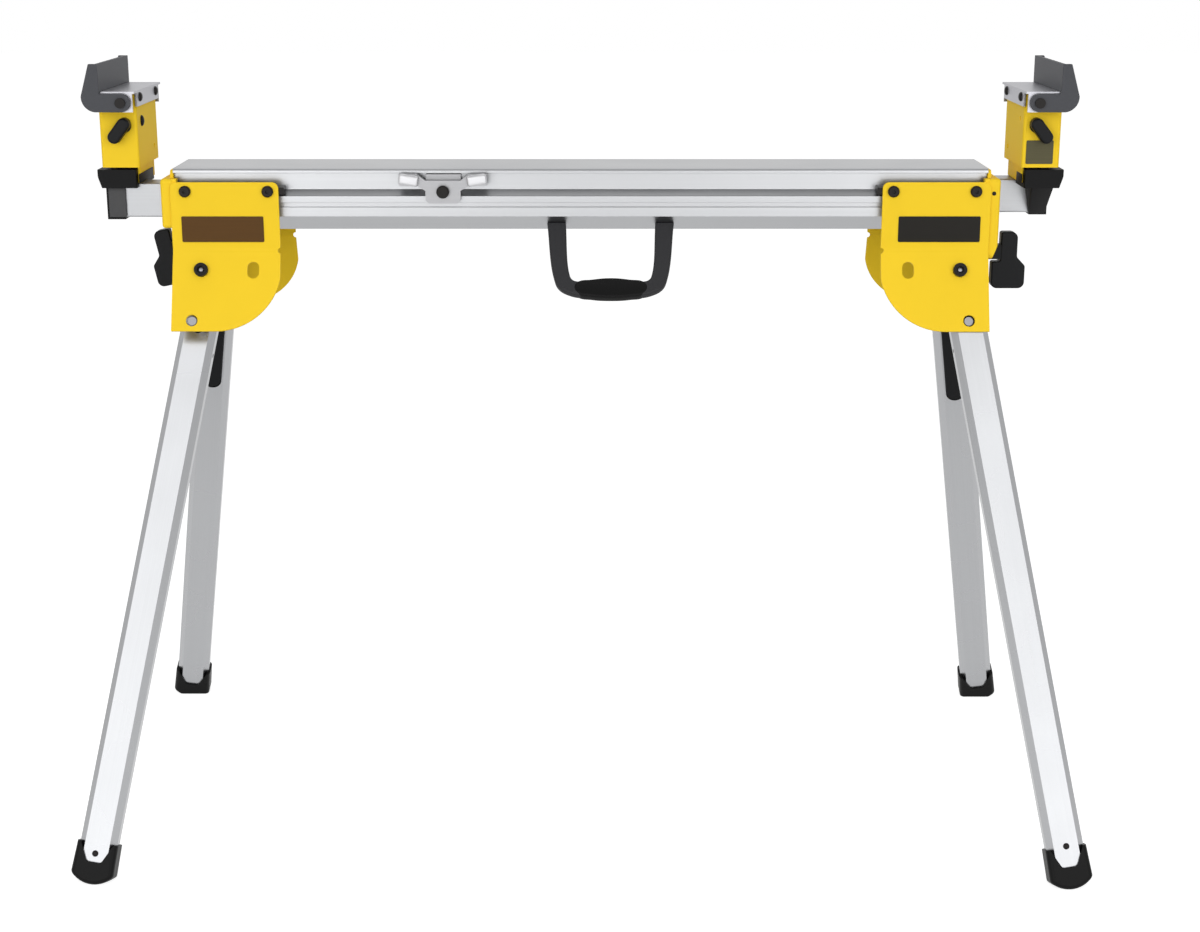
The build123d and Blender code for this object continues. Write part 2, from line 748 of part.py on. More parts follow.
def foot_cap(frame, length, layer):
    """A rubber shoe over the end of a leg: flared, round below, notched at front and back."""
    middle = layer + leg_depth / 2
    top_half = leg_width / 2 + foot_wall
    heel_half = top_half + foot_flare
    top = length - foot_height
    heel = length - foot_heel
    with BuildPart() as foot:
        with BuildSketch(frame.offset(middle)):
            with BuildLine():
                Polyline((heel, -heel_half), (top, -top_half), (top, top_half), (heel, heel_half))
                ThreePointArc((heel, heel_half), (length + foot_toe, 0), (heel, -heel_half))
            make_face()
        extrude(amount=leg_depth / 2 + foot_wall, both=True)
        fillet(long_edges(foot, frame), radius=foot_edge_radius)
        fillet(foot.faces().sort_by(Axis(frame.origin, frame.x_dir))[-1].edges(), radius=foot_sole_radius)
        with BuildSketch(cross_plane(frame, top, middle)):
            add(foot_socket)
        extrude(amount=foot_height - leg_end_gap + running_gap, mode=Mode.SUBTRACT)
        with BuildSketch(frame.offset(middle)) as notch:
            with BuildLine():
                Polyline(
                    (top - overrun, -foot_notch_top / 2),
                    (top, -foot_notch_top / 2),
                    (top + foot_notch_depth, -foot_notch_foot / 2),
                    (top + foot_notch_depth, foot_notch_foot / 2),
                    (top, foot_notch_top / 2),
                    (top - overrun, foot_notch_top / 2),
                    close=True,
                )
            make_face()
            fillet(notch.vertices().group_by(Axis.X)[-1], radius=foot_notch_radius)
        extrude(amount=leg_depth, both=True, mode=Mode.SUBTRACT)
        split(bisect_by=Plane.XY, keep=Keep.TOP)
    return foot


def release_lever(frame, layer):
    """A rocker in the leg's inner wall: pressing its long end in draws the lock pin back."""
    skin = layer + leg_depth
    top = skin + release_proud
    under = skin - release_depth
    boss = layer + release_pivot_depth
    side = Plane(origin=frame.origin, x_dir=frame.x_dir, z_dir=-frame.y_dir)
    with BuildPart() as lever:
        with BuildSketch(side):
            with BuildLine():
                Polyline(
                    (lever_start, under),
                    (lever_pivot - release_depth, under),
                    (lever_pivot - release_depth / 2, boss - trunnion_radius),
                    (lever_pivot + release_depth / 2, boss - trunnion_radius),
                    (lever_pivot + release_depth, under),
                    (lever_end, under),
                    (lever_end, top),
                    (lever_start, top),
                    close=True,
                )
            make_face()
        extrude(amount=release_width / 2, both=True)
        with BuildSketch(frame.offset(under)):
            with Locations(((lever_start + lever_end) / 2, 0)):
                SlotOverall(lever_end - lever_start, release_width)
        extrude(amount=top - under + overrun, mode=Mode.INTERSECT)
        with BuildSketch(side):
            with BuildLine():
                Polyline(
                    (lever_pivot - release_depth, under),
                    (lever_pivot - release_depth / 2, boss - trunnion_radius),
                    (lever_pivot + release_depth / 2, boss - trunnion_radius),
                    (lever_pivot + release_depth, under),
                    close=True,
                )
            make_face()
        extrude(amount=release_width / 2, both=True)
        with BuildSketch(side):
            with Locations((lever_pivot, boss)):
                Circle(trunnion_radius)
        extrude(amount=leg_width / 2 - running_gap, both=True)
        with BuildSketch(frame.offset(under)):
            with Locations((pin_reach, 0)):
                Circle(pin_stem_radius + pin_play)
        extrude(amount=top - under, mode=Mode.SUBTRACT)
        with BuildSketch(frame.offset(skin - leg_wall)):
            with Locations((pin_reach, 0)):
                Circle(pin_head_radius + pin_play)
        extrude(amount=top - skin + leg_wall, mode=Mode.SUBTRACT)
    return lever


def lock_pin(frame, layer):
    """The pin behind the plate's hole; its head hooks in the release lever."""
    nose = plate_thickness + seat_gap
    head = layer + leg_depth - leg_wall + pin_head_gap
    with BuildPart() as pin:
        with BuildSketch(frame.offset(nose)):
            with Locations((pin_reach, 0)):
                Circle(pin_radius)
        extrude(amount=layer + leg_wall + insert_finger - nose)
        with BuildSketch(frame.offset(nose)):
            with Locations((pin_reach, 0)):
                Circle(pin_stem_radius)
        extrude(amount=head - nose)
        with BuildSketch(frame.offset(head)):
            with Locations((pin_reach, 0)):
                Circle(pin_head_radius)
        extrude(amount=pin_head_height)
        chamfer(pin.faces().sort_by(along(frame))[0].edges(), length=pin_nose_chamfer)
    return pin


pieces = {}
for corner, (side_x, side_y, tilt_deg, layer) in corners.items():
    frame = leg_frame(side_x, side_y, tilt_deg)
    length = leg_length(tilt_deg, layer)
    made = {
        "leg_plate": leg_plate(side_x, side_y, tilt_deg),
        "leg_tube": leg_tube(frame, length, layer),
        "leg_insert": leg_insert(frame, layer),
        "foot_cap": foot_cap(frame, length, layer),
        "release_lever": release_lever(frame, layer),
        "lock_pin": lock_pin(frame, layer),
    }
    for kind, piece in made.items():
        pieces[f"{kind}_{corner}"] = piece
        pieces[f"{kind}_{opposite[corner]}"] = turned(piece)

# Carry handle, standing square on the beam's lower front slope
handle_offset_x = 36.9
handle_top_half = 78.8
handle_bottom = 116.2
handle_arm_width = 23.6
handle_outer_lean = 12.3
handle_inner_lean = 5.7
handle_grip_height = 31.3
handle_corner_rise = 6.9
handle_corner_dip = 4.6
handle_corner_run = 8.0
handle_shoulder_height = 23.2
handle_belly_height = 5.2
handle_belly_run = 29.0
handle_thickness = 16.0
handle_edge_radius = 4.5
handle_face_deg = 1.0

handle_inner_top_half = handle_top_half - handle_arm_width
handle_outer_half = handle_top_half - handle_outer_lean
handle_inner_half = handle_inner_top_half - handle_inner_lean
handle_corner_half = handle_inner_half - handle_corner_run
handle_lower_half = handle_outer_half - handle_belly_run
handle_grip_top = handle_bottom - handle_grip_height
handle_arm_length = handle_bottom - handle_shoulder_height
handle_lower_drop = handle_bottom - handle_belly_height
handle_inner_drop = handle_grip_top - handle_corner_rise
handle_corner_drop = handle_grip_top + handle_corner_dip
slope_centre_y = (skirt_y + slope_foot_y) / 2
slope_centre_z = (slope_top_z + beam_bottom_z) / 2
handle_plane = Plane(
    origin=(handle_offset_x, -slope_centre_y, slope_centre_z),
    x_dir=(1, 0, 0),
    z_dir=(0, -1, 1),
)
with BuildPart() as handle:
    with BuildSketch(handle_plane):
        with BuildLine():
            Line((-handle_top_half, 0), (-handle_outer_half, -handle_arm_length))
            Spline(
                (-handle_outer_half, -handle_arm_length),
                (-handle_lower_half, -handle_lower_drop),
                (0, -handle_bottom),
                (handle_lower_half, -handle_lower_drop),
                (handle_outer_half, -handle_arm_length),
                tangents=[
                    (handle_top_half - handle_outer_half, -handle_arm_length),
                    (handle_top_half - handle_outer_half, handle_arm_length),
                ],
            )
            Polyline(
                (handle_outer_half, -handle_arm_length),
                (handle_top_half, 0),
                (handle_inner_top_half, 0),
                (handle_inner_half, -handle_inner_drop),
            )
            Spline(
                (handle_inner_half, -handle_inner_drop),
                (handle_corner_half, -handle_corner_drop),
                (0, -handle_grip_top),
                (-handle_corner_half, -handle_corner_drop),
                (-handle_inner_half, -handle_inner_drop),
                tangents=[
                    (-(handle_inner_top_half - handle_inner_half), -handle_inner_drop),
                    (-(handle_inner_top_half - handle_inner_half), handle_inner_drop),
                ],
            )
            Polyline(
                (-handle_inner_half, -handle_inner_drop),
                (-handle_inner_top_half, 0),
                (-handle_top_half, 0),
            )
        make_face()
    extrude(amount=handle_thickness / 2, both=True)
    flat_faces = handle.faces().filter_by(
        lambda face: abs(face.normal_at().dot(handle_plane.z_dir)) > cos(radians(handle_face_deg))
        and face.geom_type == GeomType.PLANE
    )
    fillet(flat_faces.edges().filter_by(
        lambda edge: edge.center().Z < slope_centre_z - handle_edge_radius), radius=handle_edge_radius)

# Clip bracket, a cast block that rides in the front channel
clip_x = -168.5
clip_body_width = 43.0
clip_body_depth = 9.0
clip_tongue_height = 18.0
clip_span = 108.0
clip_ear_width = 22.0
clip_ear_height = 14.0
clip_ear_depth = 15.0
clip_wing_height = 8.0
clip_screw_radius = 7.8
clip_screw_height = 6.0
clip_screw_chamfer = 1.5
clip_screw_shank_radius = 4.0
clip_screw_drop = 27.5
clip_back_y = -(beam_half_width + seat_gap)
clip_bottom_z = rail_bottom_z
clip_screw_z = beam_top_z - clip_screw_drop
clip_tongue_z = (channel_top_z + channel_foot_z) / 2
with BuildPart() as clip_bracket:
    with BuildSketch(Plane.XZ.offset(-clip_back_y)):
        with BuildLine():
            Polyline(
                (clip_x - clip_body_width / 2, clip_bottom_z + clip_wing_height / 2),
                (clip_x - clip_body_width / 2 + clip_wing_height / 2, clip_bottom_z),
                (clip_x + clip_body_width / 2 - clip_wing_height / 2, clip_bottom_z),
                (clip_x + clip_body_width / 2, clip_bottom_z + clip_wing_height / 2),
                (clip_x + clip_body_width / 2, channel_foot_z),
                (clip_x + clip_span / 2 - clip_ear_width, channel_top_z - clip_ear_height),
                (clip_x + clip_span / 2, channel_top_z - clip_ear_height),
                (clip_x + clip_span / 2, channel_top_z),
                (clip_x + clip_span / 2 - clip_ear_width, channel_top_z),
                (clip_x + clip_body_width / 2, channel_top_z - clip_wing_height),
                (clip_x - clip_body_width / 2, channel_top_z - clip_wing_height),
                (clip_x - clip_span / 2 + clip_ear_width, channel_top_z),
                (clip_x - clip_span / 2, channel_top_z),
                (clip_x - clip_span / 2, channel_top_z - clip_ear_height),
                (clip_x - clip_span / 2 + clip_ear_width, channel_top_z - clip_ear_height),
                (clip_x - clip_body_width / 2, channel_foot_z),
                close=True,
            )
        make_face()
    extrude(amount=clip_body_depth)
    with BuildSketch(Plane.XZ.offset(-clip_back_y)):
        for side in (-1, 1):
            with Locations(
                (
                    clip_x + side * (clip_span - clip_ear_width) / 2,
                    channel_top_z - clip_ear_height / 2,
                )
            ):
                RectangleRounded(clip_ear_width, clip_ear_height, clip_wing_height / 2)
    extrude(amount=clip_ear_depth)
    tongue_depth = channel_depth - seat_gap
    with Locations(
        (clip_x, clip_back_y + tongue_depth / 2, clip_tongue_z)
    ):
        Box(clip_body_width, tongue_depth, clip_tongue_height)
    with BuildSketch(Plane.XZ.offset(-clip_back_y + clip_body_depth)):
        with Locations((clip_x, clip_screw_z)):
            Circle(clip_screw_shank_radius + running_gap)
    extrude(amount=-clip_body_depth, mode=Mode.SUBTRACT)

with BuildPart() as clip_screw:
    with BuildSketch(Plane.XZ.offset(-clip_back_y + clip_body_depth)):
        with Locations((clip_x, clip_screw_z)):
            Circle(clip_screw_shank_radius)
    extrude(amount=-clip_body_depth)
    with BuildSketch(Plane.XZ.offset(-clip_back_y + clip_body_depth)):
        with Locations((clip_x, clip_screw_z)):
            Circle(clip_screw_radius)
    extrude(amount=clip_screw_height)
    chamfer(
        clip_screw.edges().filter_by(GeomType.CIRCLE).group_by(Axis.Y)[0],
        length=clip_screw_chamfer,
    )

# Extension tubes and the plugs on their inner ends
tube_length = tube_end_x - tube_start_x
plug_length = 14.0
with BuildPart() as tube_right:
    with BuildSketch(Plane.YZ.offset(tube_start_x)):
        with Locations((bay_centre_y, tube_centre_z)):
            RectangleRounded(tube_width, tube_height, tube_wall)
            Rectangle(tube_width - 2 * tube_wall, tube_height - 2 * tube_wall, mode=Mode.SUBTRACT)
    extrude(amount=tube_length)
tube_left = turned(tube_right)

with BuildPart() as plug_right:
    with BuildSketch(Plane.YZ.offset(tube_start_x)):
        with Locations((bay_centre_y, tube_centre_z)):
            Rectangle(
                tube_width - 2 * (tube_wall + running_gap),
                tube_height - 2 * (tube_wall + running_gap),
            )
    extrude(amount=plug_length)
    with BuildSketch(Plane.YZ.offset(tube_start_x)):
        with Locations((bay_centre_y, tube_centre_z)):
            RectangleRounded(
                bay_width - slide_gap,
                bay_height - slide_gap,
                tube_wall,
            )
    extrude(amount=-tube_wall)
plug_left = turned(plug_right)

# Head base: an end cap on the tube and a platform beside it on a tapered gusset
base_inset = 36.0
base_outset = 12.0
base_half_depth = 50.0
base_drop = 5.0
base_rise = 17.5
base_taper = 5.0
base_taper_height = 15.0
base_edge_radius = 2.0
cap_inset = 18.0
cap_end = 4.0
cap_wall = 2.4
gusset_inner_flare = 5.0
gusset_outer_flare = 4.0
gusset_reach = 38.0

base_inner_x = tube_end_x - base_inset
base_outer_x = tube_end_x + base_outset
base_bottom_z = tube_top_z - base_drop
base_top_z = tube_top_z + base_rise
cap_start_x = tube_end_x - cap_inset
cap_outer_x = tube_end_x + cap_end
cap_bottom_z = tube_bottom_z - cap_wall
gusset_top_start_x = cap_start_x - gusset_inner_flare
gusset_top_end_x = cap_outer_x + gusset_outer_flare
with BuildPart() as base_right:
    with BuildSketch(Plane.XZ):
        with BuildLine():
            Polyline(
                (base_inner_x, base_bottom_z),
                (base_outer_x - base_taper, base_bottom_z),
                (base_outer_x, base_bottom_z + base_taper_height),
                (base_outer_x, base_top_z),
                (base_inner_x, base_top_z),
                close=True,
            )
        make_face()
    extrude(amount=base_half_depth, both=True)
    fillet(base_right.edges().filter_by(Axis.Z), radius=base_edge_radius)
    with BuildSketch(Plane.YZ.offset(cap_start_x)):
        with Locations(
            (bay_centre_y, (cap_bottom_z + base_bottom_z + overrun) / 2)
        ):
            Rectangle(tube_width + 2 * cap_wall, base_bottom_z + overrun - cap_bottom_z)
    extrude(amount=cap_outer_x - cap_start_x)
    with BuildSketch(Plane.XZ.offset(-(tube_inner_y - cap_wall))) as gusset_face:
        with BuildLine():
            Polyline(
                (gusset_top_start_x, base_bottom_z),
                (gusset_top_end_x, base_bottom_z),
                (cap_outer_x, cap_bottom_z),
                (cap_start_x, cap_bottom_z),
                close=True,
            )
        make_face()
    extrude(
        to_extrude=gusset_face.sketch,
        amount=gusset_reach,
    )
    gusset_end_y = tube_inner_y - cap_wall - gusset_reach
    with BuildSketch(Plane.YZ.offset(gusset_top_start_x - overrun)):
        with BuildLine():
            Polyline(
                (gusset_end_y - overrun, base_bottom_z),
                (gusset_end_y, base_bottom_z),
                (tube_inner_y - cap_wall, cap_bottom_z),
                (tube_inner_y - cap_wall, cap_bottom_z - overrun),
                (gusset_end_y - overrun, cap_bottom_z - overrun),
                close=True,
            )
        make_face()
    extrude(amount=gusset_top_end_x - gusset_top_start_x + 2 * overrun, mode=Mode.SUBTRACT)
    with BuildSketch(Plane.YZ.offset(base_inner_x - overrun)):
        with Locations((bay_centre_y, tube_centre_z)):
            Rectangle(tube_width + 2 * running_gap, tube_height + 2 * running_gap)
    extrude(amount=tube_end_x + running_gap - base_inner_x + overrun, mode=Mode.SUBTRACT)
base_left = turned(base_right)

# Head post: a folded steel channel bolted on the platform's inner side
sheet = 3.0
post_half_depth = head_half_depth - sheet - seat_gap
tongue_half_depth = 40.0
post_foot_gap = 4.5
post_top_drop = 8.0
post_flange = 33.0
knob_inset = 10.0
knob_drop = 42.0
stud_radius = 4.0
post_bottom_z = base_top_z + post_foot_gap
post_top_z = support_z - post_top_drop
knob_x = base_inner_x + knob_inset
knob_z = support_z - knob_drop
post_inner_x = base_inner_x - sheet
tongue_bottom_z = tube_top_z + slide_gap
with BuildPart() as post_right:
    with BuildSketch(Plane.YZ.offset(post_inner_x)):
        with Locations((0, (post_bottom_z + post_top_z) / 2)):
            Rectangle(2 * post_half_depth, post_top_z - post_bottom_z)
        with Locations((0, (tongue_bottom_z + post_bottom_z) / 2)):
            Rectangle(2 * tongue_half_depth, post_bottom_z - tongue_bottom_z)
    extrude(amount=sheet)
    for side_y in (-1, 1):
        with Locations(
            (
                base_inner_x + post_flange / 2,
                side_y * (post_half_depth - sheet / 2),
                (post_bottom_z + post_top_z) / 2,
            )
        ):
            Box(post_flange, sheet, post_top_z - post_bottom_z)
    slot_bottom_z = knob_z - stud_radius - slide_gap
    with Locations(
        (
            knob_x,
            -(post_half_depth - sheet / 2),
            (slot_bottom_z + post_top_z + overrun) / 2,
        )
    ):
        Box(
            2 * (stud_radius + slide_gap),
            sheet + 2 * slide_gap,
            post_top_z + overrun - slot_bottom_z,
            mode=Mode.SUBTRACT,
        )
post_left = mirrored(post_right)

# Head housing: a yellow sheet box that slides on the post, open at both ends
wall = 2.7
head_inner_x = post_inner_x - seat_gap - wall
head_outer_x = head_inner_x + head_width
head_foot_gap = 3.5
top_plate_thickness = 2.6
head_bend_radius = 3.5
side_hole_radius = 3.2
side_hole_y = 34.0
side_hole_rise = 17.0
side_hole_drop = 36.0
head_screw_radius = 2.5
head_screw_y = 44.0
head_screw_drop = 8.5
head_bottom_z = base_top_z + head_foot_gap
head_top_z = support_z - top_plate_thickness
side_hole_z = (head_bottom_z + side_hole_rise, support_z - side_hole_drop)
head_screw_z = support_z - head_screw_drop
with BuildPart() as head_right:
    with BuildSketch(Plane.XY.offset(head_bottom_z)):
        with Locations(((head_inner_x + head_outer_x) / 2, 0)):
            RectangleRounded(head_width, 2 * head_half_depth, head_bend_radius)
            Rectangle(head_width - 2 * wall, 2 * (head_half_depth - wall), mode=Mode.SUBTRACT)
    extrude(amount=head_top_z - head_bottom_z)
    with BuildSketch(Plane.YZ.offset(head_inner_x)):
        with Locations((side_hole_y, side_hole_z[0]), (-side_hole_y, side_hole_z[1])):
            Circle(side_hole_radius)
        with Locations((head_screw_y, head_screw_z), (-head_screw_y, head_screw_z)):
            Circle(head_screw_radius + running_gap)
    extrude(amount=wall + slide_gap, mode=Mode.SUBTRACT)
    with BuildSketch(Plane.XZ.offset(head_half_depth)):
        with Locations((knob_x, knob_z)):
            Circle(stud_radius + running_gap)
    extrude(amount=-(wall + slide_gap), mode=Mode.SUBTRACT)
head_left = mirrored(head_right)

# Top plate of the head: steel, folded down at both ends and on the inner side. A rebate
# along its outer edge lets the fence reach below the top, so that no board slips under it.
top_half_depth = 75.0
top_overhang = 3.0
flange_height = 19.0
end_flange_height = 24.5
stop_pivot_inset = 13.0
stop_pivot_drop = 13.0
stop_pin_radius = 4.0
fence_reach = 25.0
rebate_gap = 0.6
rebate_depth = 1.2
top_inner_x = head_inner_x - top_plate_thickness
top_outer_x = head_outer_x + top_overhang
flange_bottom_z = support_z - flange_height
end_flange_bottom_z = support_z - end_flange_height
stop_pivot_x = head_inner_x + stop_pivot_inset
stop_pivot_z = support_z - stop_pivot_drop
fence_inner_x = stop_pivot_x + fence_reach
rebate_z = support_z - rebate_depth
with BuildPart() as top_plate_right:
    with BuildSketch(Plane.XY.offset(support_z)):
        with Locations(((top_inner_x + top_outer_x) / 2, 0)):
            Rectangle(top_outer_x - top_inner_x, 2 * top_half_depth)
    extrude(amount=-top_plate_thickness)
    fillet(
        top_plate_right.edges().filter_by(Axis.Z).group_by(Axis.X)[-1],
        radius=head_bend_radius,
    )
    with BuildSketch(Plane.XY.offset(head_top_z)):
        with Locations((top_inner_x + top_plate_thickness / 2, 0)):
            Rectangle(top_plate_thickness, 2 * head_half_depth + 2 * head_bend_radius)
    extrude(amount=-(head_top_z - flange_bottom_z))
    with BuildSketch(Plane.XY.offset(head_top_z)):
        for side_y in (-1, 1):
            with Locations(
                (
                    (head_inner_x + head_outer_x) / 2,
                    side_y * (top_half_depth - top_plate_thickness / 2),
                )
            ):
                Rectangle(head_width, top_plate_thickness)
    extrude(amount=-(head_top_z - end_flange_bottom_z))
    with BuildSketch(Plane.XY.offset(rebate_z)):
        with Locations((fence_inner_x - rebate_gap + head_width / 2, 0)):
            Rectangle(head_width, 2 * (top_half_depth + overrun))
    extrude(amount=rebate_depth, mode=Mode.SUBTRACT)
    with BuildSketch(Plane.XZ):
        with Locations((stop_pivot_x, stop_pivot_z)):
            Circle(stop_pin_radius)
    extrude(amount=top_half_depth + overrun, both=True, mode=Mode.SUBTRACT)
    with BuildSketch(Plane.YZ.offset(top_inner_x)):
        with Locations((head_screw_y, head_screw_z), (-head_screw_y, head_screw_z)):
            Circle(head_screw_radius + running_gap)
    extrude(amount=top_plate_thickness, mode=Mode.SUBTRACT)
top_plate_left = mirrored(top_plate_right)

# Screws that hold the top plate on the housing
screw_head_radius = 4.6
screw_head_height = 2.4
with BuildPart() as screws_right:
    with BuildSketch(Plane.YZ.offset(top_inner_x)):
        with Locations((head_screw_y, head_screw_z), (-head_screw_y, head_screw_z)):
            Circle(head_screw_radius)
    extrude(amount=top_plate_thickness + wall)
    with BuildSketch(Plane.YZ.offset(top_inner_x)):
        with Locations((head_screw_y, head_screw_z), (-head_screw_y, head_screw_z)):
            Circle(screw_head_radius)
    extrude(amount=-screw_head_height)
screws_left = mirrored(screws_right)

# Flip stop: two curved arms joined by a fence, on a pin at each end of the top plate
arm_gap = 0.5
arm_thickness = 6.0
arm_end_radius = 11.0
arm_reach = 47.0
arm_bulge_rise = 8.0
arm_top_width = 11.0
arm_heel_run = 16.0
arm_heel_rise = 2.5
fence_rise = 33.0
fence_thickness = 4.5
arm_outer_x = stop_pivot_x + arm_reach
arm_outer_z = stop_pivot_z + arm_bulge_rise
arm_top_z = support_z + fence_rise
arm_top_outer_x = fence_inner_x + arm_top_width
arm_heel_x = arm_outer_x - arm_heel_run
fence_bottom_z = rebate_z + seat_gap
arm_inner_y = top_half_depth + arm_gap
arm_outer_y = arm_inner_y + arm_thickness
pivot_foot_z = stop_pivot_z - arm_end_radius
with BuildPart() as stop_right:
    for side_y in (-1, 1):
        with BuildSketch(Plane.XZ.offset(side_y * arm_inner_y)):
            with BuildLine():
                Line((stop_pivot_x, pivot_foot_z), (arm_heel_x, pivot_foot_z))
                ThreePointArc(
                    (arm_heel_x, pivot_foot_z),
                    (arm_outer_x - arm_heel_rise, pivot_foot_z + arm_end_radius - arm_heel_rise),
                    (arm_outer_x, arm_outer_z),
                )
                Polyline(
                    (arm_outer_x, arm_outer_z),
                    (arm_top_outer_x, arm_top_z),
                    (fence_inner_x, arm_top_z),
                    (fence_inner_x, stop_pivot_z + arm_end_radius),
                    (stop_pivot_x, stop_pivot_z + arm_end_radius),
                )
                ThreePointArc(
                    (stop_pivot_x, stop_pivot_z + arm_end_radius),
                    (stop_pivot_x - arm_end_radius, stop_pivot_z),
                    (stop_pivot_x, pivot_foot_z),
                )
            make_face()
            with Locations((stop_pivot_x, stop_pivot_z)):
                Circle(stop_pin_radius + running_gap, mode=Mode.SUBTRACT)
        extrude(amount=side_y * arm_thickness)
    with BuildSketch(Plane.XZ):
        with Locations((fence_inner_x + fence_thickness / 2, (fence_bottom_z + arm_top_z) / 2)):
            Rectangle(fence_thickness, arm_top_z - fence_bottom_z)
    extrude(amount=arm_inner_y, both=True)
stop_left = mirrored(stop_right)

# Pins that the flip stop turns on, riveted in the top plate's end flanges
stop_pin_head_radius = 6.2
stop_pin_head_height = 2.5
with BuildPart() as stop_pins_right:
    for side_y in (-1, 1):
        with BuildSketch(Plane.XZ.offset(side_y * (top_half_depth - top_plate_thickness))):
            with Locations((stop_pivot_x, stop_pivot_z)):
                Circle(stop_pin_radius)
        extrude(amount=side_y * (arm_outer_y + seat_gap - top_half_depth + top_plate_thickness))
        with BuildSketch(Plane.XZ.offset(side_y * (arm_outer_y + seat_gap))):
            with Locations((stop_pivot_x, stop_pivot_z)):
                Circle(stop_pin_head_radius)
        extrude(amount=side_y * stop_pin_head_height)
stop_pins_left = mirrored(stop_pins_right)

# Head knob: a moulded bar on a stud through the housing and the post's slot
knob_bar_length = 35.0
knob_bar_width = 15.5
knob_bar_offset = 7.0
knob_angle_deg = -52.0
knob_boss_radius = 9.0
knob_boss_height = 3.0
knob_bar_height = 12.0
knob_edge_radius = 3.0
knob_plane = Plane(
    origin=(knob_x, -(head_half_depth + seat_gap), knob_z), x_dir=(1, 0, 0), z_dir=(0, -1, 0)
)
with BuildPart() as knob_right:
    with BuildSketch(knob_plane):
        Circle(knob_boss_radius)
    extrude(amount=knob_boss_height)
    with BuildSketch(knob_plane.offset(knob_boss_height)):
        with Locations(
            Location(
                (
                    knob_bar_offset * cos(radians(knob_angle_deg)),
                    knob_bar_offset * sin(radians(knob_angle_deg)),
                    0,
                ),
                (0, 0, knob_angle_deg),
            )
        ):
            SlotOverall(knob_bar_length, knob_bar_width)
    extrude(amount=knob_bar_height)
    fillet(knob_right.faces().sort_by(Axis.Y)[0].edges(), radius=knob_edge_radius)
    with BuildSketch(knob_plane):
        Circle(stud_radius)
    extrude(amount=-(head_half_depth + seat_gap - post_half_depth + sheet + overrun))
knob_left = mirrored(knob_right)

pieces.update(
    {
        "beam_extrusion": beam,
        "end_housing_right": housing_right,
        "end_housing_left": housing_left,
        "tube_bushes": tube_bushes,
        "clamp_wedges": clamp_wedges,
        "clamp_pins": clamp_pins,
        "tube_clamp_lever_right": clamp_lever_right,
        "tube_clamp_lever_left": clamp_lever_left,
        "spacer_bars": spacer_bars,
        "plate_bolts": plate_bolts,
        "leg_pivot_bolts": around(pivot_bolt),
        "leg_pivot_nuts": around(pivot_nut),
        "leg_pivot_spacers": around(pivot_spacer),
        "carry_handle": handle,
        "clip_bracket": clip_bracket,
        "clip_screw": clip_screw,
        "extension_tube_right": tube_right,
        "extension_tube_left": tube_left,
        "tube_plug_right": plug_right,
        "tube_plug_left": plug_left,
        "head_base_right": base_right,
        "head_base_left": base_left,
        "head_post_right": post_right,
        "head_post_left": post_left,
        "head_housing_right": head_right,
        "head_housing_left": head_left,
        "head_top_plate_right": top_plate_right,
        "head_top_plate_left": top_plate_left,
        "head_screws_right": screws_right,
        "head_screws_left": screws_left,
        "flip_stop_right": stop_right,
        "flip_stop_left": stop_left,
        "stop_pins_right": stop_pins_right,
        "stop_pins_left": stop_pins_left,
        "head_knob_right": knob_right,
        "head_knob_left": knob_left,
    }
)

os.makedirs("parts", exist_ok=True)
for name, piece in pieces.items():
    piece.part.label = name
    export_step(piece.part, f"parts/{name}.step")
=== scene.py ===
import json
import math

import bmesh
import bpy
from mathutils import Matrix, Vector
from mathutils.bvhtree import BVHTree


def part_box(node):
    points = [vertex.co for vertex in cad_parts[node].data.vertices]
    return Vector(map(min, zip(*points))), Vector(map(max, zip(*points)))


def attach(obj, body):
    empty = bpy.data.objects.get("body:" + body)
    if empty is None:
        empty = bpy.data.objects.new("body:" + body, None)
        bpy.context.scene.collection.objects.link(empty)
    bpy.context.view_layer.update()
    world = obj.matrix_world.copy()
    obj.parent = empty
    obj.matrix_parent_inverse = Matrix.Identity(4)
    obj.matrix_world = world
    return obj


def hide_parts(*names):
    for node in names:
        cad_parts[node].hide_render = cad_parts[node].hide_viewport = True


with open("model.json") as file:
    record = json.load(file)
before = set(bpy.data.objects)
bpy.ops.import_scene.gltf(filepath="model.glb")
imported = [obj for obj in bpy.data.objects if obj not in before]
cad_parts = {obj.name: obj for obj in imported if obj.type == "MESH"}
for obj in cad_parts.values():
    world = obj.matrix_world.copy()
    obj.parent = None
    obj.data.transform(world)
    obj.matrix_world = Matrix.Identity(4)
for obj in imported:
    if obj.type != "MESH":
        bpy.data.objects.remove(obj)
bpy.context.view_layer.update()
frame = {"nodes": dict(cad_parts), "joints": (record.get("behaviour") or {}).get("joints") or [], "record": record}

# The camera stands 2.5 m in front of the stand at the height of a person's chest
# and looks down on it a little, as in the photograph.
camera_place = Vector((0.0238, -2.5175, 1.1257))
camera_tilt = math.radians(74.71)
sensor_mm = 36.0
lens_mm = 60.17
camera_data = bpy.data.cameras.new("camera")
camera_data.sensor_width = sensor_mm
camera_data.lens = lens_mm
camera = bpy.data.objects.new("camera", camera_data)
camera.location = camera_place
camera.rotation_euler = (camera_tilt, 0, 0)
bpy.context.scene.collection.objects.link(camera)
bpy.context.scene.camera = camera
bpy.context.scene.view_settings.view_transform = "Standard"

# A white studio. What is seen, directly or in metal, is the white backdrop behind the stand,
# nearly white walls at its sides and a grey wall in front of it. What lights the stand is an
# even pale room. One wall turns into the next between the given parts of a unit direction.
room_light = 0.42
backdrop = 1.0
side_wall = 0.95
front_wall = 0.5
front_to_backdrop = (-0.15, 0.35)
backdrop_to_side = (0.45, 0.85)
pure_white = (1, 1, 1, 1)


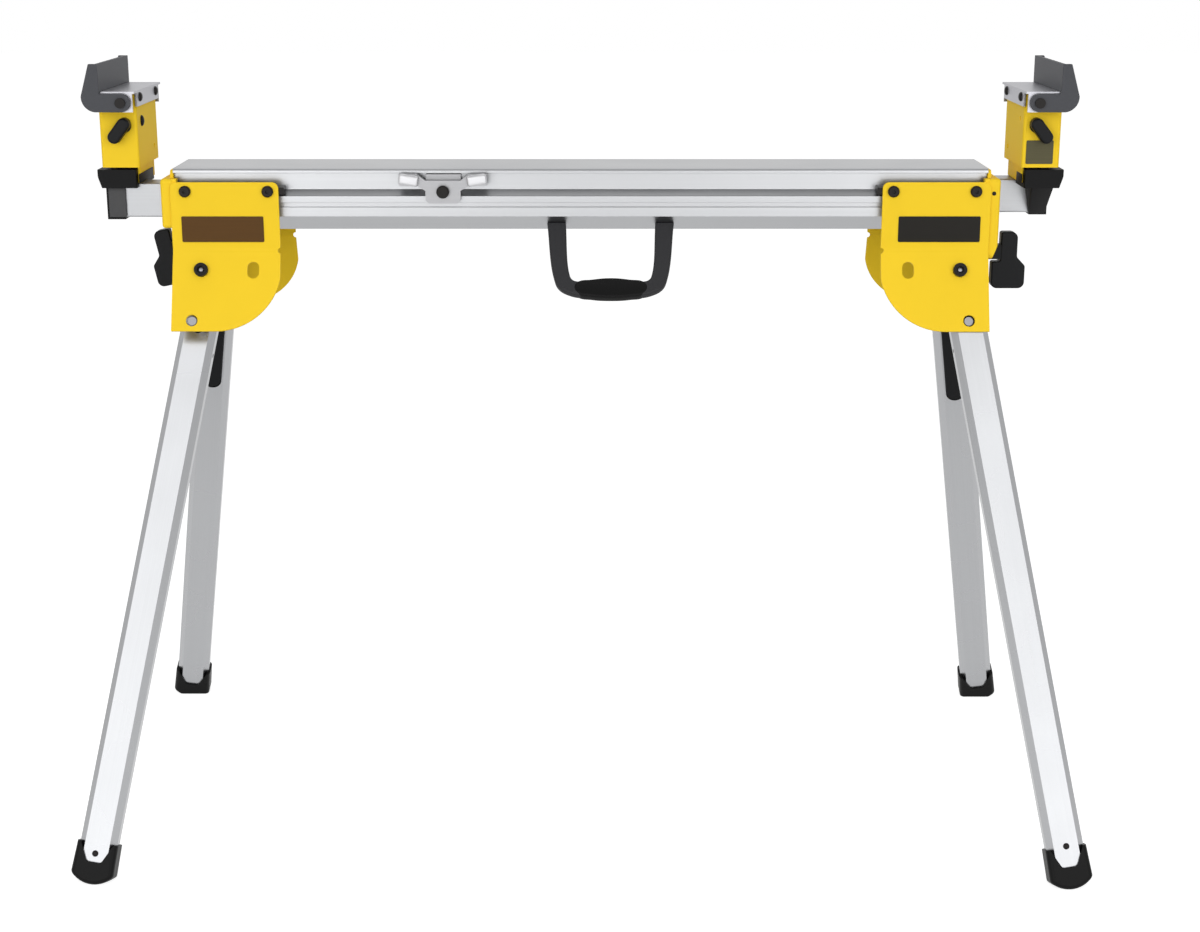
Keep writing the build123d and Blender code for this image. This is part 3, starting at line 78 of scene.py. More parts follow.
def linear(hex_colour):
    """An sRGB hex colour as linear RGBA."""
    values = [int(hex_colour[i : i + 2], 16) / 255 for i in (1, 3, 5)]
    return [v / 12.92 if v <= 0.04045 else ((v + 0.055) / 1.055) ** 2.4 for v in values] + [1.0]


def add_node(tree, kind, settings=None, links=None):
    """A node with its settings, by attribute or input name, and its incoming links."""
    node = tree.nodes.new(kind)
    for key, value in (settings or {}).items():
        if isinstance(key, str) and hasattr(node, key):
            setattr(node, key, value)
        else:
            node.inputs[key].default_value = value
    for key, socket in (links or {}).items():
        tree.links.new(socket, node.inputs[key])
    return node


def seen_directly(tree):
    """1 on camera, glossy and transmission rays, 0 on the rays that carry diffuse light."""
    rays = add_node(tree, "ShaderNodeLightPath")
    seen = add_node(
        tree,
        "ShaderNodeMath",
        {"operation": "MAXIMUM"},
        {0: rays.outputs["Is Camera Ray"], 1: rays.outputs["Is Glossy Ray"]},
    )
    return add_node(
        tree,
        "ShaderNodeMath",
        {"operation": "MAXIMUM"},
        {0: seen.outputs[0], 1: rays.outputs["Is Transmission Ray"]},
    ).outputs[0]


world = bpy.data.worlds.new("studio")
bpy.context.scene.world = world
world.use_nodes = True
tree = world.node_tree
tree.nodes.clear()
direction = add_node(tree, "ShaderNodeTexCoord")
parts = add_node(
    tree, "ShaderNodeSeparateXYZ", None, {0: direction.outputs["Generated"]}
)
lengthways = add_node(
    tree,
    "ShaderNodeMapRange",
    {
        "interpolation_type": "SMOOTHSTEP",
        "From Min": front_to_backdrop[0],
        "From Max": front_to_backdrop[1],
        "To Min": front_wall,
        "To Max": backdrop,
    },
    {"Value": parts.outputs["Y"]},
)
across = add_node(
    tree, "ShaderNodeMath", {"operation": "ABSOLUTE"}, {0: parts.outputs["X"]}
)
sideways = add_node(
    tree,
    "ShaderNodeMapRange",
    {
        "interpolation_type": "SMOOTHSTEP",
        "From Min": backdrop_to_side[0],
        "From Max": backdrop_to_side[1],
        "To Min": 0.0,
        "To Max": 1.0,
    },
    {"Value": across.outputs[0]},
)
walls = add_node(
    tree,
    "ShaderNodeMix",
    {"data_type": "FLOAT", 3: side_wall},
    {0: sideways.outputs[0], 2: lengthways.outputs[0]},
)
room = add_node(
    tree, "ShaderNodeBackground", {"Color": pure_white, "Strength": room_light}
)
seen_room = add_node(
    tree, "ShaderNodeBackground", {"Color": pure_white}, {"Strength": walls.outputs[0]}
)
seen_white = add_node(
    tree, "ShaderNodeBackground", {"Color": pure_white, "Strength": 1.0}
)
camera_ray = add_node(tree, "ShaderNodeLightPath")
around = add_node(
    tree,
    "ShaderNodeMixShader",
    None,
    {0: seen_directly(tree), 1: room.outputs[0], 2: seen_room.outputs[0]},
)
final = add_node(
    tree,
    "ShaderNodeMixShader",
    None,
    {
        0: camera_ray.outputs["Is Camera Ray"],
        1: around.outputs[0],
        2: seen_white.outputs[0],
    },
)
add_node(tree, "ShaderNodeOutputWorld", None, {"Surface": final.outputs[0]})

# The floor is a seamless sheet of white paper. Its own glow, which only the camera and
# shiny surfaces see, brings it to the white of the backdrop and leaves the stand's shadow.
floor_size = 30.0
paper_white = "#C4C4C4"
paper_glow = 0.8


def material(name):
    """An empty node material and its tree."""
    made = bpy.data.materials.new(name)
    made.use_nodes = True
    made.node_tree.nodes.clear()
    return made, made.node_tree


floor_mesh = bpy.data.meshes.new("floor")
shape = bmesh.new()
bmesh.ops.create_grid(shape, x_segments=1, y_segments=1, size=floor_size / 2)
shape.to_mesh(floor_mesh)
shape.free()
floor = bpy.data.objects.new("floor", floor_mesh)
bpy.context.scene.collection.objects.link(floor)
floor_material, tree = material("seamless_paper")
paper = add_node(tree, "ShaderNodeBsdfDiffuse", {"Color": linear(paper_white)})
glow = add_node(
    tree, "ShaderNodeEmission", {"Color": pure_white, "Strength": paper_glow}
)
bright = add_node(
    tree, "ShaderNodeAddShader", None, {0: paper.outputs[0], 1: glow.outputs[0]}
)
choice = add_node(
    tree,
    "ShaderNodeMixShader",
    None,
    {0: seen_directly(tree), 1: paper.outputs[0], 2: bright.outputs[0]},
)
add_node(tree, "ShaderNodeOutputMaterial", None, {"Surface": choice.outputs[0]})
floor_mesh.materials.append(floor_material)

# Four soft lamps: two large ones in front, a long low strip behind the camera, which gives the
# upright metal its brightness, and a weak one overhead. All face the middle of the stand.
lamps = {
    "key": {"place": (-1.6, -3.0, 1.5), "size": 2.6, "height": 2.6, "watts": 42.0},
    "fill": {"place": (1.7, -3.0, 1.5), "size": 2.6, "height": 2.6, "watts": 40.0},
    "strip": {"place": (0.0, -4.6, 0.72), "size": 3.4, "height": 1.0, "watts": 14.0},
    "top": {"place": (0.0, 0.2, 3.2), "size": 2.6, "height": 2.6, "watts": 11.5},
}
stand_middle = Vector((0, 0, 0.55))
for name, lamp in lamps.items():
    light = bpy.data.lights.new(name, "AREA")
    light.shape = "RECTANGLE"
    light.size = lamp["size"]
    light.size_y = lamp["height"]
    light.energy = lamp["watts"]
    holder = bpy.data.objects.new(name, light)
    place = Vector(lamp["place"])
    holder.location = place
    holder.rotation_euler = (stand_middle - place).to_track_quat("-Z", "Y").to_euler()
    bpy.context.scene.collection.objects.link(holder)

# The beam is a hollow aluminium extrusion, anodised: satin, with faint die lines along its
# length. Its long corners have the small radius that an extrusion die leaves.
beam_edge = 0.0004
mm_per_m = 1000
same_point = 0.00001
body_of_node = {
    node: body
    for body, nodes in frame["record"]["behaviour"]["bodies"].items()
    for node in nodes
}


def shades(colour, low, high):
    """The two ends of a colour's natural spread, darker and lighter."""
    base = Vector(linear(colour)[:3])
    return (*(base * low), 1), (*(base * high), 1)


def cover_surface(tree, tones, stain, grain, settings, relief, depth, links=None):
    """A shader that takes its tones from one pattern and its relief from another."""
    dark, light = tones
    tint = add_node(
        tree,
        "ShaderNodeMix",
        {"data_type": "RGBA", 6: dark, 7: light},
        {0: stain.outputs["Fac"]},
    )
    bump = add_node(
        tree,
        "ShaderNodeBump",
        {"Strength": relief, "Distance": depth},
        {"Height": grain.outputs["Fac"]},
    )
    skin = add_node(
        tree,
        "ShaderNodeBsdfPrincipled",
        settings,
        {"Base Color": tint.outputs[2], "Normal": bump.outputs[0], **(links or {})},
    )
    add_node(tree, "ShaderNodeOutputMaterial", None, {"Surface": skin.outputs[0]})


def lined_metal(name, colour, roughness, along=(1, 0, 0)):
    """Bare or plated metal with faint long lines, as a die or roll leaves, in one direction."""
    made, tree = material(name)
    line_mm = 0.9
    line_length_mm = 400.0
    handling_per_m = 9.0
    smoother, rougher = 0.05, 0.07
    place = add_node(tree, "ShaderNodeTexCoord")
    turn = Vector(along).to_track_quat("X", "Z").to_euler()
    turned = add_node(
        tree,
        "ShaderNodeMapping",
        {"vector_type": "TEXTURE", "Rotation": turn},
        {"Vector": place.outputs["Object"]},
    )
    across_lines = mm_per_m / line_mm
    stretched = add_node(
        tree,
        "ShaderNodeMapping",
        {"Scale": (mm_per_m / line_length_mm, across_lines, across_lines)},
        {"Vector": turned.outputs[0]},
    )
    lines = add_node(
        tree,
        "ShaderNodeTexNoise",
        {"Scale": 1.0, "Detail": 3.0},
        {"Vector": stretched.outputs[0]},
    )
    handling = add_node(
        tree,
        "ShaderNodeTexNoise",
        {"Scale": handling_per_m, "Detail": 2.0},
        {"Vector": place.outputs["Object"]},
    )
    sheen = add_node(
        tree,
        "ShaderNodeMapRange",
        {"To Min": roughness - smoother, "To Max": roughness + rougher},
        {"Value": handling.outputs["Fac"]},
    )
    tones = shades(colour, low=0.93, high=1.04)
    settings = {"Metallic": 1.0}
    links = {"Roughness": sheen.outputs[0]}
    cover_surface(
        tree, tones, lines, lines, settings, relief=0.1, depth=0.0001, links=links
    )
    return made


def add_piece(name, shape, finishes, smooth_deg, body):
    """The shape's object, in its finishes, smooth where its faces meet below an angle."""
    mesh = bpy.data.meshes.new(name)
    shape.to_mesh(mesh)
    shape.free()
    if smooth_deg:
        mesh.shade_smooth()
        mesh.set_sharp_from_angle(angle=math.radians(smooth_deg))
    for finish in finishes:
        mesh.materials.append(finish)
    made = bpy.data.objects.new(name, mesh)
    bpy.context.scene.collection.objects.link(made)
    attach(made, body)
    return made


def edges_broken(node, finish, edge):
    """A copy of a CAD piece with its sharp edges rounded over, which stands for the piece."""
    flat_deg = 0.6
    sharp_deg = 28.0
    smooth_deg = 50
    shape = bmesh.new()
    shape.from_mesh(frame["nodes"][node].data)
    bmesh.ops.remove_doubles(shape, verts=shape.verts, dist=same_point)
    bmesh.ops.dissolve_limit(
        shape,
        angle_limit=math.radians(flat_deg),
        verts=shape.verts,
        edges=shape.edges,
        use_dissolve_boundaries=False,
    )
    sharp = [
        line
        for line in shape.edges
        if len(line.link_faces) == 2 and line.calc_face_angle() > math.radians(sharp_deg)
    ]
    bmesh.ops.bevel(
        shape,
        geom=sharp,
        offset=edge,
        offset_type="OFFSET",
        affect="EDGES",
        segments=2,
        profile=0.5,
        material=-1,
        clamp_overlap=True,
    )
    many_sided = [face for face in shape.faces if len(face.verts) > 4]
    bmesh.ops.triangulate(shape, faces=many_sided)
    piece = add_piece(
        f"{node}_finished",
        shape,
        [finish],
        smooth_deg,
        body_of_node[node],
    )
    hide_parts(node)
    even = piece.modifiers.new("even_shading", "WEIGHTED_NORMAL")
    even.keep_sharp = True


# Anodised aluminium, extruded: pale and satin, so that it shows soft bands of the room.
beam_finish = lined_metal("anodised_aluminium_beam", "#A8A9AB", roughness=0.32)
edges_broken("beam_extrusion", beam_finish, beam_edge)

# The spacer bars are sawn lengths of flat steel bar, black oxidised. They fill the beam's
# side channels behind the plates, where the bolts clamp them.
bar_edge = 0.0004


def wearing(node, finish):
    """The CAD piece as it is, in its finish."""
    mesh = frame["nodes"][node].data
    mesh.materials.clear()
    mesh.materials.append(finish)


def black_oxide(name, colour, roughness):
    """Steel blacked in a hot salt bath: dark, a little glossy, with a faint brown bloom."""
    made, tree = material(name)
    bloom_mm = 12.0
    grit_mm = 0.5
    place = add_node(tree, "ShaderNodeTexCoord")
    bloom = add_node(
        tree,
        "ShaderNodeTexNoise",
        {"Scale": mm_per_m / bloom_mm, "Detail": 3.0},
        {"Vector": place.outputs["Object"]},
    )
    grit = add_node(
        tree,
        "ShaderNodeTexNoise",
        {"Scale": mm_per_m / grit_mm, "Detail": 1.0},
        {"Vector": place.outputs["Object"]},
    )
    tones = shades(colour, low=0.75, high=1.2)
    settings = {"Roughness": roughness, "IOR": 1.6, "Specular IOR Level": 0.14}
    cover_surface(tree, tones, bloom, grit, settings, relief=0.1, depth=0.0001)
    return made


blacked_steel = black_oxide("black_oxide_steel", "#14100E", roughness=0.38)
edges_broken("spacer_bars", blacked_steel, bar_edge)

# The leg plates are pressed from 3 mm steel, bent once, and powder coated yellow: satin,
# with the fine orange peel of the coat and softly rounded edges.
plate_edge = 0.0007
corners = ("front_right", "front_left", "rear_right", "rear_left")


def powder_coat(name, colour, roughness):
    """Polyester powder baked on metal: an even colour under a fine orange peel."""
    made, tree = material(name)
    peel_mm = 1.6
    drift_mm = 70.0
    place = add_node(tree, "ShaderNodeTexCoord")
    peel = add_node(
        tree,
        "ShaderNodeTexNoise",
        {"Scale": mm_per_m / peel_mm, "Detail": 1.0},
        {"Vector": place.outputs["Object"]},
    )
    drift = add_node(
        tree,
        "ShaderNodeTexNoise",
        {"Scale": mm_per_m / drift_mm, "Detail": 2.0},
        {"Vector": place.outputs["Object"]},
    )
    tones = shades(colour, low=0.96, high=1.02)
    settings = {"Roughness": roughness, "IOR": 1.5, "Specular IOR Level": 0.1}
    cover_surface(tree, tones, drift, peel, settings, relief=0.06, depth=0.0002)
    return made


yellow_coat = powder_coat("yellow_powder_coat", "#F6CF2B", roughness=0.56)
for corner in corners:
    edges_broken(f"leg_plate_{corner}", yellow_coat, plate_edge)

# A bare label plate is fixed flat on each front leg plate: thin aluminium, anodised dark
# brown on the left and printed black on the right, with a fine raised border.
label_height = 0.0316
label_width = 0.1005
label_thickness = 0.0008
label_corner = 0.0015
border_width = 0.0016
border_rise = 0.0003
label_top_drop = 0.0415
label_inset = {"front_right": 0.0115, "front_left": 0.0125}
label_seat_y = -0.065


def dark_label(name, colour, roughness=0.38):
    """Aluminium sheet with a dark anodised or printed face, finely brushed along its length."""
    made, tree = material(name)
    brush_mm = 0.5
    brush_length_mm = 60.0
    place = add_node(tree, "ShaderNodeTexCoord")
    across_brush = mm_per_m / brush_mm
    stretched = add_node(
        tree,
        "ShaderNodeMapping",
        {"Scale": (mm_per_m / brush_length_mm, across_brush, across_brush)},
        {"Vector": place.outputs["Object"]},
    )
    brush = add_node(
        tree,
        "ShaderNodeTexNoise",
        {"Scale": 1.0, "Detail": 2.0},
        {"Vector": stretched.outputs[0]},
    )
    tones = shades(colour, low=0.85, high=1.15)
    settings = {"Roughness": roughness, "IOR": 1.5, "Specular IOR Level": 0.14}
    cover_surface(tree, tones, brush, brush, settings, relief=0.05, depth=0.0001)
    return made


def label_plate(name, centre, width, height, face, border, body):
    """A thin rounded plate on a face that looks to the front, with a raised border."""
    same_label_point = 0.000001
    facing_up = 0.9
    shape = bmesh.new()
    bmesh.ops.create_grid(shape, x_segments=1, y_segments=1, size=0.5)
    bmesh.ops.scale(shape, vec=(width, height, 1), verts=shape.verts)
    bmesh.ops.bevel(
        shape,
        geom=list(shape.verts),
        offset=label_corner,
        affect="VERTICES",
        segments=4,
        profile=0.5,
        material=-1,
    )
    rim = bmesh.ops.inset_region(
        shape, faces=list(shape.faces), thickness=border_width, use_even_offset=True
    )["faces"]
    for rim_face in rim:
        rim_face.material_index = 1
    bmesh.ops.solidify(shape, geom=list(shape.faces), thickness=-label_thickness)
    for vertex in shape.verts:
        vertex.co.z = max(vertex.co.z, 0.0)
    raised = [
        face_up
        for face_up in shape.faces
        if face_up.material_index == 1 and face_up.normal.z > facing_up
    ]
    lifted = bmesh.ops.extrude_face_region(shape, geom=raised)["geom"]
    bmesh.ops.translate(
        shape,
        vec=(0, 0, border_rise),
        verts=[v for v in lifted if isinstance(v, bmesh.types.BMVert)],
    )
    bmesh.ops.delete(shape, geom=raised, context="FACES_ONLY")
    upright = Matrix.Translation(centre) @ Matrix.Rotation(math.radians(90), 4, "X")
    bmesh.ops.transform(shape, matrix=upright, verts=shape.verts)
    bmesh.ops.remove_doubles(shape, verts=shape.verts, dist=same_label_point)
    bmesh.ops.recalc_face_normals(shape, faces=shape.faces)
    add_piece(name, shape, [face, border], None, body)


# Dark faces, dull enough to hide the lamps, over a border that catches a thin line of light.
brown_face = dark_label("brown_anodised_label", "#54370F")
black_face = dark_label("black_printed_label", "#17140F")
label_edge = dark_label("label_border", "#281806")
for corner, side, face in (
    ("front_left", -1, brown_face),
    ("front_right", 1, black_face),
):
    low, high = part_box(f"leg_plate_{corner}")
    outer_x = max(abs(low[0]), abs(high[0]))
    centre_x = side * (outer_x - label_inset[corner] - label_width / 2)
    centre_z = high[2] - label_top_drop - label_height / 2
    label_plate(
        f"label_plate_{corner}",
        (centre_x, label_seat_y, centre_z),
        label_width,
        label_height,
        face,
        label_edge,
        "frame",
    )

# The plate bolts are button-head socket screws in black oxide. They clamp the leg plates to
# the spacer bars in the beam, two through each plate.
wearing("plate_bolts", blacked_steel)

# The end housings are die castings, powder coated with the plates, that close the beam's
# ends. A small black screw with a pressed domed head holds each one to its plate.
housing_edge = 0.0004
housing_screw_width = 0.0052
housing_screw_rise = 0.0012
housing_screw_x = 0.5062
housing_screw_z = 0.8
clear_of_part = 0.2


def domed_head(name, place, facing, width, rise, finish, body):
    """A round low dome that sits on a face at the given place and looks along facing."""
    smooth_deg = 50
    shape = bmesh.new()
    bmesh.ops.create_uvsphere(shape, u_segments=28, v_segments=14, radius=1.0)
    cut = bmesh.ops.bisect_plane(
        shape,
        geom=[*shape.verts, *shape.edges, *shape.faces],
        plane_no=(0, 0, 1),
        clear_inner=True,
    )["geom_cut"]
    ring = [line for line in cut if isinstance(line, bmesh.types.BMEdge)]
    bmesh.ops.contextual_create(shape, geom=ring)
    bmesh.ops.scale(shape, vec=(width / 2, width / 2, rise), verts=shape.verts)
    turned = Vector(facing).to_track_quat("Z", "Y").to_matrix().to_4x4()
    seated = Matrix.Translation(place) @ turned
    bmesh.ops.transform(shape, matrix=seated, verts=shape.verts)
    bmesh.ops.recalc_face_normals(shape, faces=shape.faces)
    return add_piece(name, shape, [finish], smooth_deg, body)


def face_ahead(node, start, heading):
    """The first place on a CAD piece that a straight line meets."""
    shape = bmesh.new()
    shape.from_mesh(frame["nodes"][node].data)
    place = BVHTree.FromBMesh(shape).ray_cast(Vector(start), Vector(heading))[0]
    shape.free()
    return place


for side, across, facing in (
    ("right", housing_screw_x, -1),
    ("left", -housing_screw_x, 1),
):
    edges_broken(f"end_housing_{side}", yellow_coat, housing_edge)
    start = (across, facing * clear_of_part, housing_screw_z)
    seat = face_ahead(f"end_housing_{side}", start, (0, -facing, 0))
    domed_head(
        f"housing_screw_{side}",
        seat,
        (0, facing, 0),
        housing_screw_width,
        housing_screw_rise,
        blacked_steel,
        "frame",
    )

# A moulded nylon bush lines each tube's opening, and a moulded wedge stands below the tube
# in the clamp. Both are black and dull, with the fine grain of their mould.


def moulded_nylon(name, colour, roughness, grain_mm=0.8, relief=0.2):
    """Injection-moulded nylon with a fine spark-eroded grain."""
    made, tree = material(name)
    place = add_node(tree, "ShaderNodeTexCoord")
    grain = add_node(
        tree,
        "ShaderNodeTexNoise",
        {"Scale": mm_per_m / grain_mm, "Detail": 2.0},
        {"Vector": place.outputs["Object"]},
    )
    tones = shades(colour, low=0.85, high=1.15)
    settings = {"Roughness": roughness, "IOR": 1.5, "Specular IOR Level": 0.13}
    cover_surface(tree, tones, grain, grain, settings, relief=relief, depth=0.0002)
    return made


black_nylon = moulded_nylon("black_nylon", "#0C0C0D", roughness=0.54)
wearing("tube_bushes", black_nylon)
wearing("clamp_wedges", black_nylon)

# The clamp levers are moulded in glass-filled nylon, smoother and glossier than the bushes.
# They turn on plain steel pins, plated with zinc, that show a soft grey shine.
lever_nylon = moulded_nylon("glass_filled_nylon", "#0E0F11", roughness=0.38)
zinc = lined_metal("zinc_plated_steel", "#8E8E92", roughness=0.34)
for side in ("right", "left"):
    wearing(f"tube_clamp_lever_{side}", lever_nylon)
wearing("clamp_pins", zinc)

# The extension tubes are anodised aluminium like the beam, a shade darker and duller, and
# are closed at their inner ends by moulded plugs.
tube_finish = lined_metal("anodised_aluminium_tube", "#9C9D9F", roughness=0.36)
for side in ("right", "left"):
    edges_broken(f"extension_tube_{side}", tube_finish, beam_edge)
    wearing(f"tube_plug_{side}", black_nylon)

# Each head stands on a moulded nylon base, the end cap of its tube, and slides on a pressed steel post in the
# yellow coat. A thin black sheet of the base's nylon stands above the tube against the post's inner side, reaching
# further back on the left: painted shade, where the base shades the post.
base_edge = 0.0006
post_edge = 0.0004
shade_sheet_thickness = 0.0014
shade_sheet_height = 0.011
shade_sheet_clear_of_tube = 0.0012
shade_sheet_rear = {"right": -0.02, "left": 0.026}


def rounded_block(
    name, low, high, edge, finish, body, segments=3, taper=None, lean=0.0
):
    """A box between two corners, tapered or leant about its middle, with rounded edges."""
    smooth_deg = 40
    shape = bmesh.new()
    bmesh.ops.create_cube(shape, size=1.0)
    low, high = Vector(low), Vector(high)
    middle = (low + high) / 2
    bmesh.ops.scale(shape, vec=high - low, verts=shape.verts)
    bmesh.ops.translate(shape, vec=middle, verts=shape.verts)
    if taper:
        taper(shape)
    if lean:
        leant = Matrix.Rotation(lean, 3, "Y")
        bmesh.ops.rotate(shape, cent=middle, matrix=leant, verts=shape.verts)
    bmesh.ops.bevel(
        shape,
        geom=list(shape.edges),
        offset=edge,
        affect="EDGES",
        segments=segments,
        profile=0.5,
        material=-1,
    )
    bmesh.ops.recalc_face_normals(shape, faces=shape.faces)
    add_piece(name, shape, [finish], smooth_deg, body)


for side in ("right", "left"):
    edges_broken(f"head_base_{side}", black_nylon, base_edge)
    edges_broken(f"head_post_{side}", yellow_coat, post_edge)
    base_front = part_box(f"head_base_{side}")[0][1]
    post_low, post_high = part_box(f"head_post_{side}")
    if side == "right":
        shade_sheet_x = (post_low[0] - shade_sheet_thickness, post_low[0])
    else:
        shade_sheet_x = (post_high[0], post_high[0] + shade_sheet_thickness)
    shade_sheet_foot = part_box(f"extension_tube_{side}")[1][2] + shade_sheet_clear_of_tube
    # The thin black sheet against the post's inner side is painted shade.
    rounded_block(
        f"base_shade_sheet_{side}",
        (shade_sheet_x[0], base_front, shade_sheet_foot),
        (shade_sheet_x[1], shade_sheet_rear[side], shade_sheet_foot + shade_sheet_height),
        shade_sheet_thickness / 3,
        black_nylon,
        f"extension_{side}",
    )

# A thin moulded cover is clipped on the front of the left base's column. It is dull grey nylon, lighter than the
# black base.
cover_x = (-0.5824, -0.5614)
cover_z = (0.7685, 0.8065)
cover_thickness = 0.0008
cover_nylon = moulded_nylon("dull_grey_cover_nylon", "#4C4C4D", roughness=0.5)
cover_start = (sum(cover_x) / 2, -clear_of_part, sum(cover_z) / 2)
cover_seat = face_ahead("head_base_left", cover_start, (0, 1, 0)).y
rounded_block(
    "column_cover_left",
    (cover_x[0], cover_seat - cover_thickness, cover_z[0]),
    (cover_x[1], cover_seat, cover_z[1]),
    cover_thickness / 3,
    cover_nylon,
    "extension_left",
)

# A gusset, moulded with the right base, stands in front of the tube's end. It is wide under
# the platform and narrows down to the column.
gusset_top = (0.5552, 0.5835)
gusset_foot = (0.5628, 0.5824)
gusset_front = -0.044
gusset_edge = 0.0012
gusset_below_tube_top = 0.002
tube_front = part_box("extension_tube_right")[0][1]
gusset_top_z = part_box("extension_tube_right")[1][2] - gusset_below_tube_top
gusset_foot_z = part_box("head_base_right")[0][2]


def gusset_taper(shape):
    """Draws the block's lower end in to the column, in width and in depth."""
    middle_z = sum(vertex.co.z for vertex in shape.verts) / len(shape.verts)
    middle_x = sum(gusset_top) / 2
    for vertex in shape.verts:
        if vertex.co.z < middle_z:
            vertex.co.x = gusset_foot[0] if vertex.co.x < middle_x else gusset_foot[1]
            if vertex.co.y < gusset_front / 2:
                vertex.co.y = tube_front - 2 * gusset_edge


rounded_block(
    "base_gusset_right",
    (gusset_top[0], gusset_front, gusset_foot_z),
    (gusset_top[1], tube_front, gusset_top_z),
    gusset_edge,
    black_nylon,
    "extension_right",
    taper=gusset_taper,
)

# The head housings are folded steel boxes in the plates' yellow coat that slide on their posts. A dark domed nylon
# cap on the left one's inner side is painted shade: it stands for the shaded inside of a hole there.
head_edge = 0.0006
shade_dome_width = 0.0135
shade_dome_rise = 0.0032
shade_dome_y = -0.0306
shade_dome_z = 0.8855
for side in ("right", "left"):
    edges_broken(f"head_housing_{side}", yellow_coat, head_edge)
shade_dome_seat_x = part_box("head_housing_left")[1][0]
# A black dome where a hole's inside lies in shade: painted shade.
domed_head(
    "housing_shade_dome_left",
    (shade_dome_seat_x, shade_dome_y, shade_dome_z),
    (1, 0, 0),
    shade_dome_width,
    shade_dome_rise,
    black_nylon,
    "head_left",
)

# The support plates are folded steel, plated with bright zinc: pale, with a soft shine.
# Two black pan-head screws hold each one to its housing.
top_edge = 0.0004
screw_width = 0.0115
screw_rise = 0.0034
bright_zinc = lined_metal("bright_zinc_plate", "#A2A2A7", roughness=0.36)
for side, inward in (("right", -1), ("left", 1)):
    edges_broken(f"head_top_plate_{side}", bright_zinc, top_edge)
    screws_low, screws_high = (Vector(c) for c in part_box(f"head_screws_{side}"))
    flange_low, flange_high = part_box(f"head_top_plate_{side}")
    screw_z = (screws_low.z + screws_high.z) / 2
    screw_radius = (screws_high.z - screws_low.z) / 2
    seat_x = flange_low[0] if side == "right" else flange_high[0]
    for end, screw_y in (
        ("front", screws_low.y + screw_radius),
        ("rear", screws_high.y - screw_radius),
    ):
        screw = domed_head(
            f"top_screw_{side}_{end}",
            (seat_x, screw_y, screw_z),
            (inward, 0, 0),
            screw_width,
            screw_rise,
            blacked_steel,
            f"head_{side}",
        )
        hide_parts(f"head_screws_{side}")

# A bare rating plate is stuck low on the right housing's front, half under the knob. It is
# aluminium with a dark olive grey face and a black edge, duller than the label plates.
rating_width = 0.033
rating_height = 0.0285
rating_foot = 0.0045
rating_inset = 0.0045
rating_face = dark_label("rating_plate_face", "#57533C", roughness=0.5)
rating_edge = dark_label("rating_plate_edge", "#1B1A12", roughness=0.5)
housing_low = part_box("head_housing_right")[0]
rating_x = housing_low[0] + rating_inset + rating_width / 2
rating_z = housing_low[2] + rating_foot + rating_height / 2
label_plate(
    "rating_plate_right",
    (rating_x, housing_low[1], rating_z),
    rating_width,
    rating_height,
    rating_face,
    rating_edge,
    "head_right",
)

# The flip stops are moulded in dull grey nylon and turn on blacked steel pins. The knobs
# below them are moulded in the clamp levers' nylon, round a stud.
stop_edge = 0.0008
grey_nylon = moulded_nylon("grey_nylon", "#4B4C50", roughness=0.5)
for side in ("right", "left"):
    edges_broken(f"flip_stop_{side}", grey_nylon, stop_edge)
    wearing(f"stop_pins_{side}", blacked_steel)
    wearing(f"head_knob_{side}", lever_nylon)

# Each leg is an eight-sided anodised tube, glossier than the beam, whose die lines run down
# its length. It has a nylon insert and release lever at the top, and a riveted rubber foot.
leg_edge = 0.0008
lever_edge = 0.0006
rivet_width = 0.0078
rivet_rise = 0.0016
rivet_z = 0.051

# Rubber, moulded: deep black, with a coarse and shallow grain that still shines a little.
foot_rubber = moulded_nylon("foot_rubber", "#070707", roughness=0.42, grain_mm=2.0, relief=0.1)
joint_of = {joint["name"]: joint for joint in frame["joints"]}
pivots = {}
for corner in corners:
    hinge = joint_of[f"leg_{corner}_fold"]
    pivot = Vector(hinge["pos_m"])
    axis = Vector(hinge["axis"]).normalized()
    outward = axis if axis.y * pivot.y > 0 else -axis
    pivots[corner] = (pivot, outward)
    low, high = (Vector(c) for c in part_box(f"foot_cap_{corner}"))
    down = (low + high) / 2 - pivot
    down = (down - axis * down.dot(axis)).normalized()
    leg_finish = lined_metal(
        f"anodised_aluminium_leg_{corner}", "#A8A9AB", roughness=0.27, along=down
    )
    edges_broken(f"leg_tube_{corner}", leg_finish, leg_edge)
    wearing(f"leg_insert_{corner}", black_nylon)
    wearing(f"foot_cap_{corner}", foot_rubber)
    edges_broken(f"release_lever_{corner}", lever_nylon, lever_edge)
    wearing(f"lock_pin_{corner}", zinc)
    foot = pivot + down * ((rivet_z - pivot.z) / down.z)
    start = foot + outward * clear_of_part
    domed_head(
        f"foot_rivet_{corner}",
        face_ahead(f"leg_tube_{corner}", start, -outward),
        outward,
        rivet_width,
        rivet_rise,
        blacked_steel,
        body_of_node[f"leg_tube_{corner}"],
    )

# The legs turn on black steel bolts with zinc-plated nuts and nylon spacers between leg and
# plate. A small round stub, plated with zinc, shows in the middle of each bolt's head.
stub_width = 0.0066
stub_rise = 0.002
wearing("leg_pivot_bolts", blacked_steel)
for corner, (pivot, outward) in pivots.items():
    start = pivot + outward * clear_of_part
    domed_head(
        f"pivot_stub_{corner}",
        face_ahead("leg_pivot_bolts", start, -outward),
        outward,
        stub_width,
        stub_rise,
        zinc,
        "frame",
    )
wearing("leg_pivot_nuts", zinc)
wearing("leg_pivot_spacers", black_nylon)

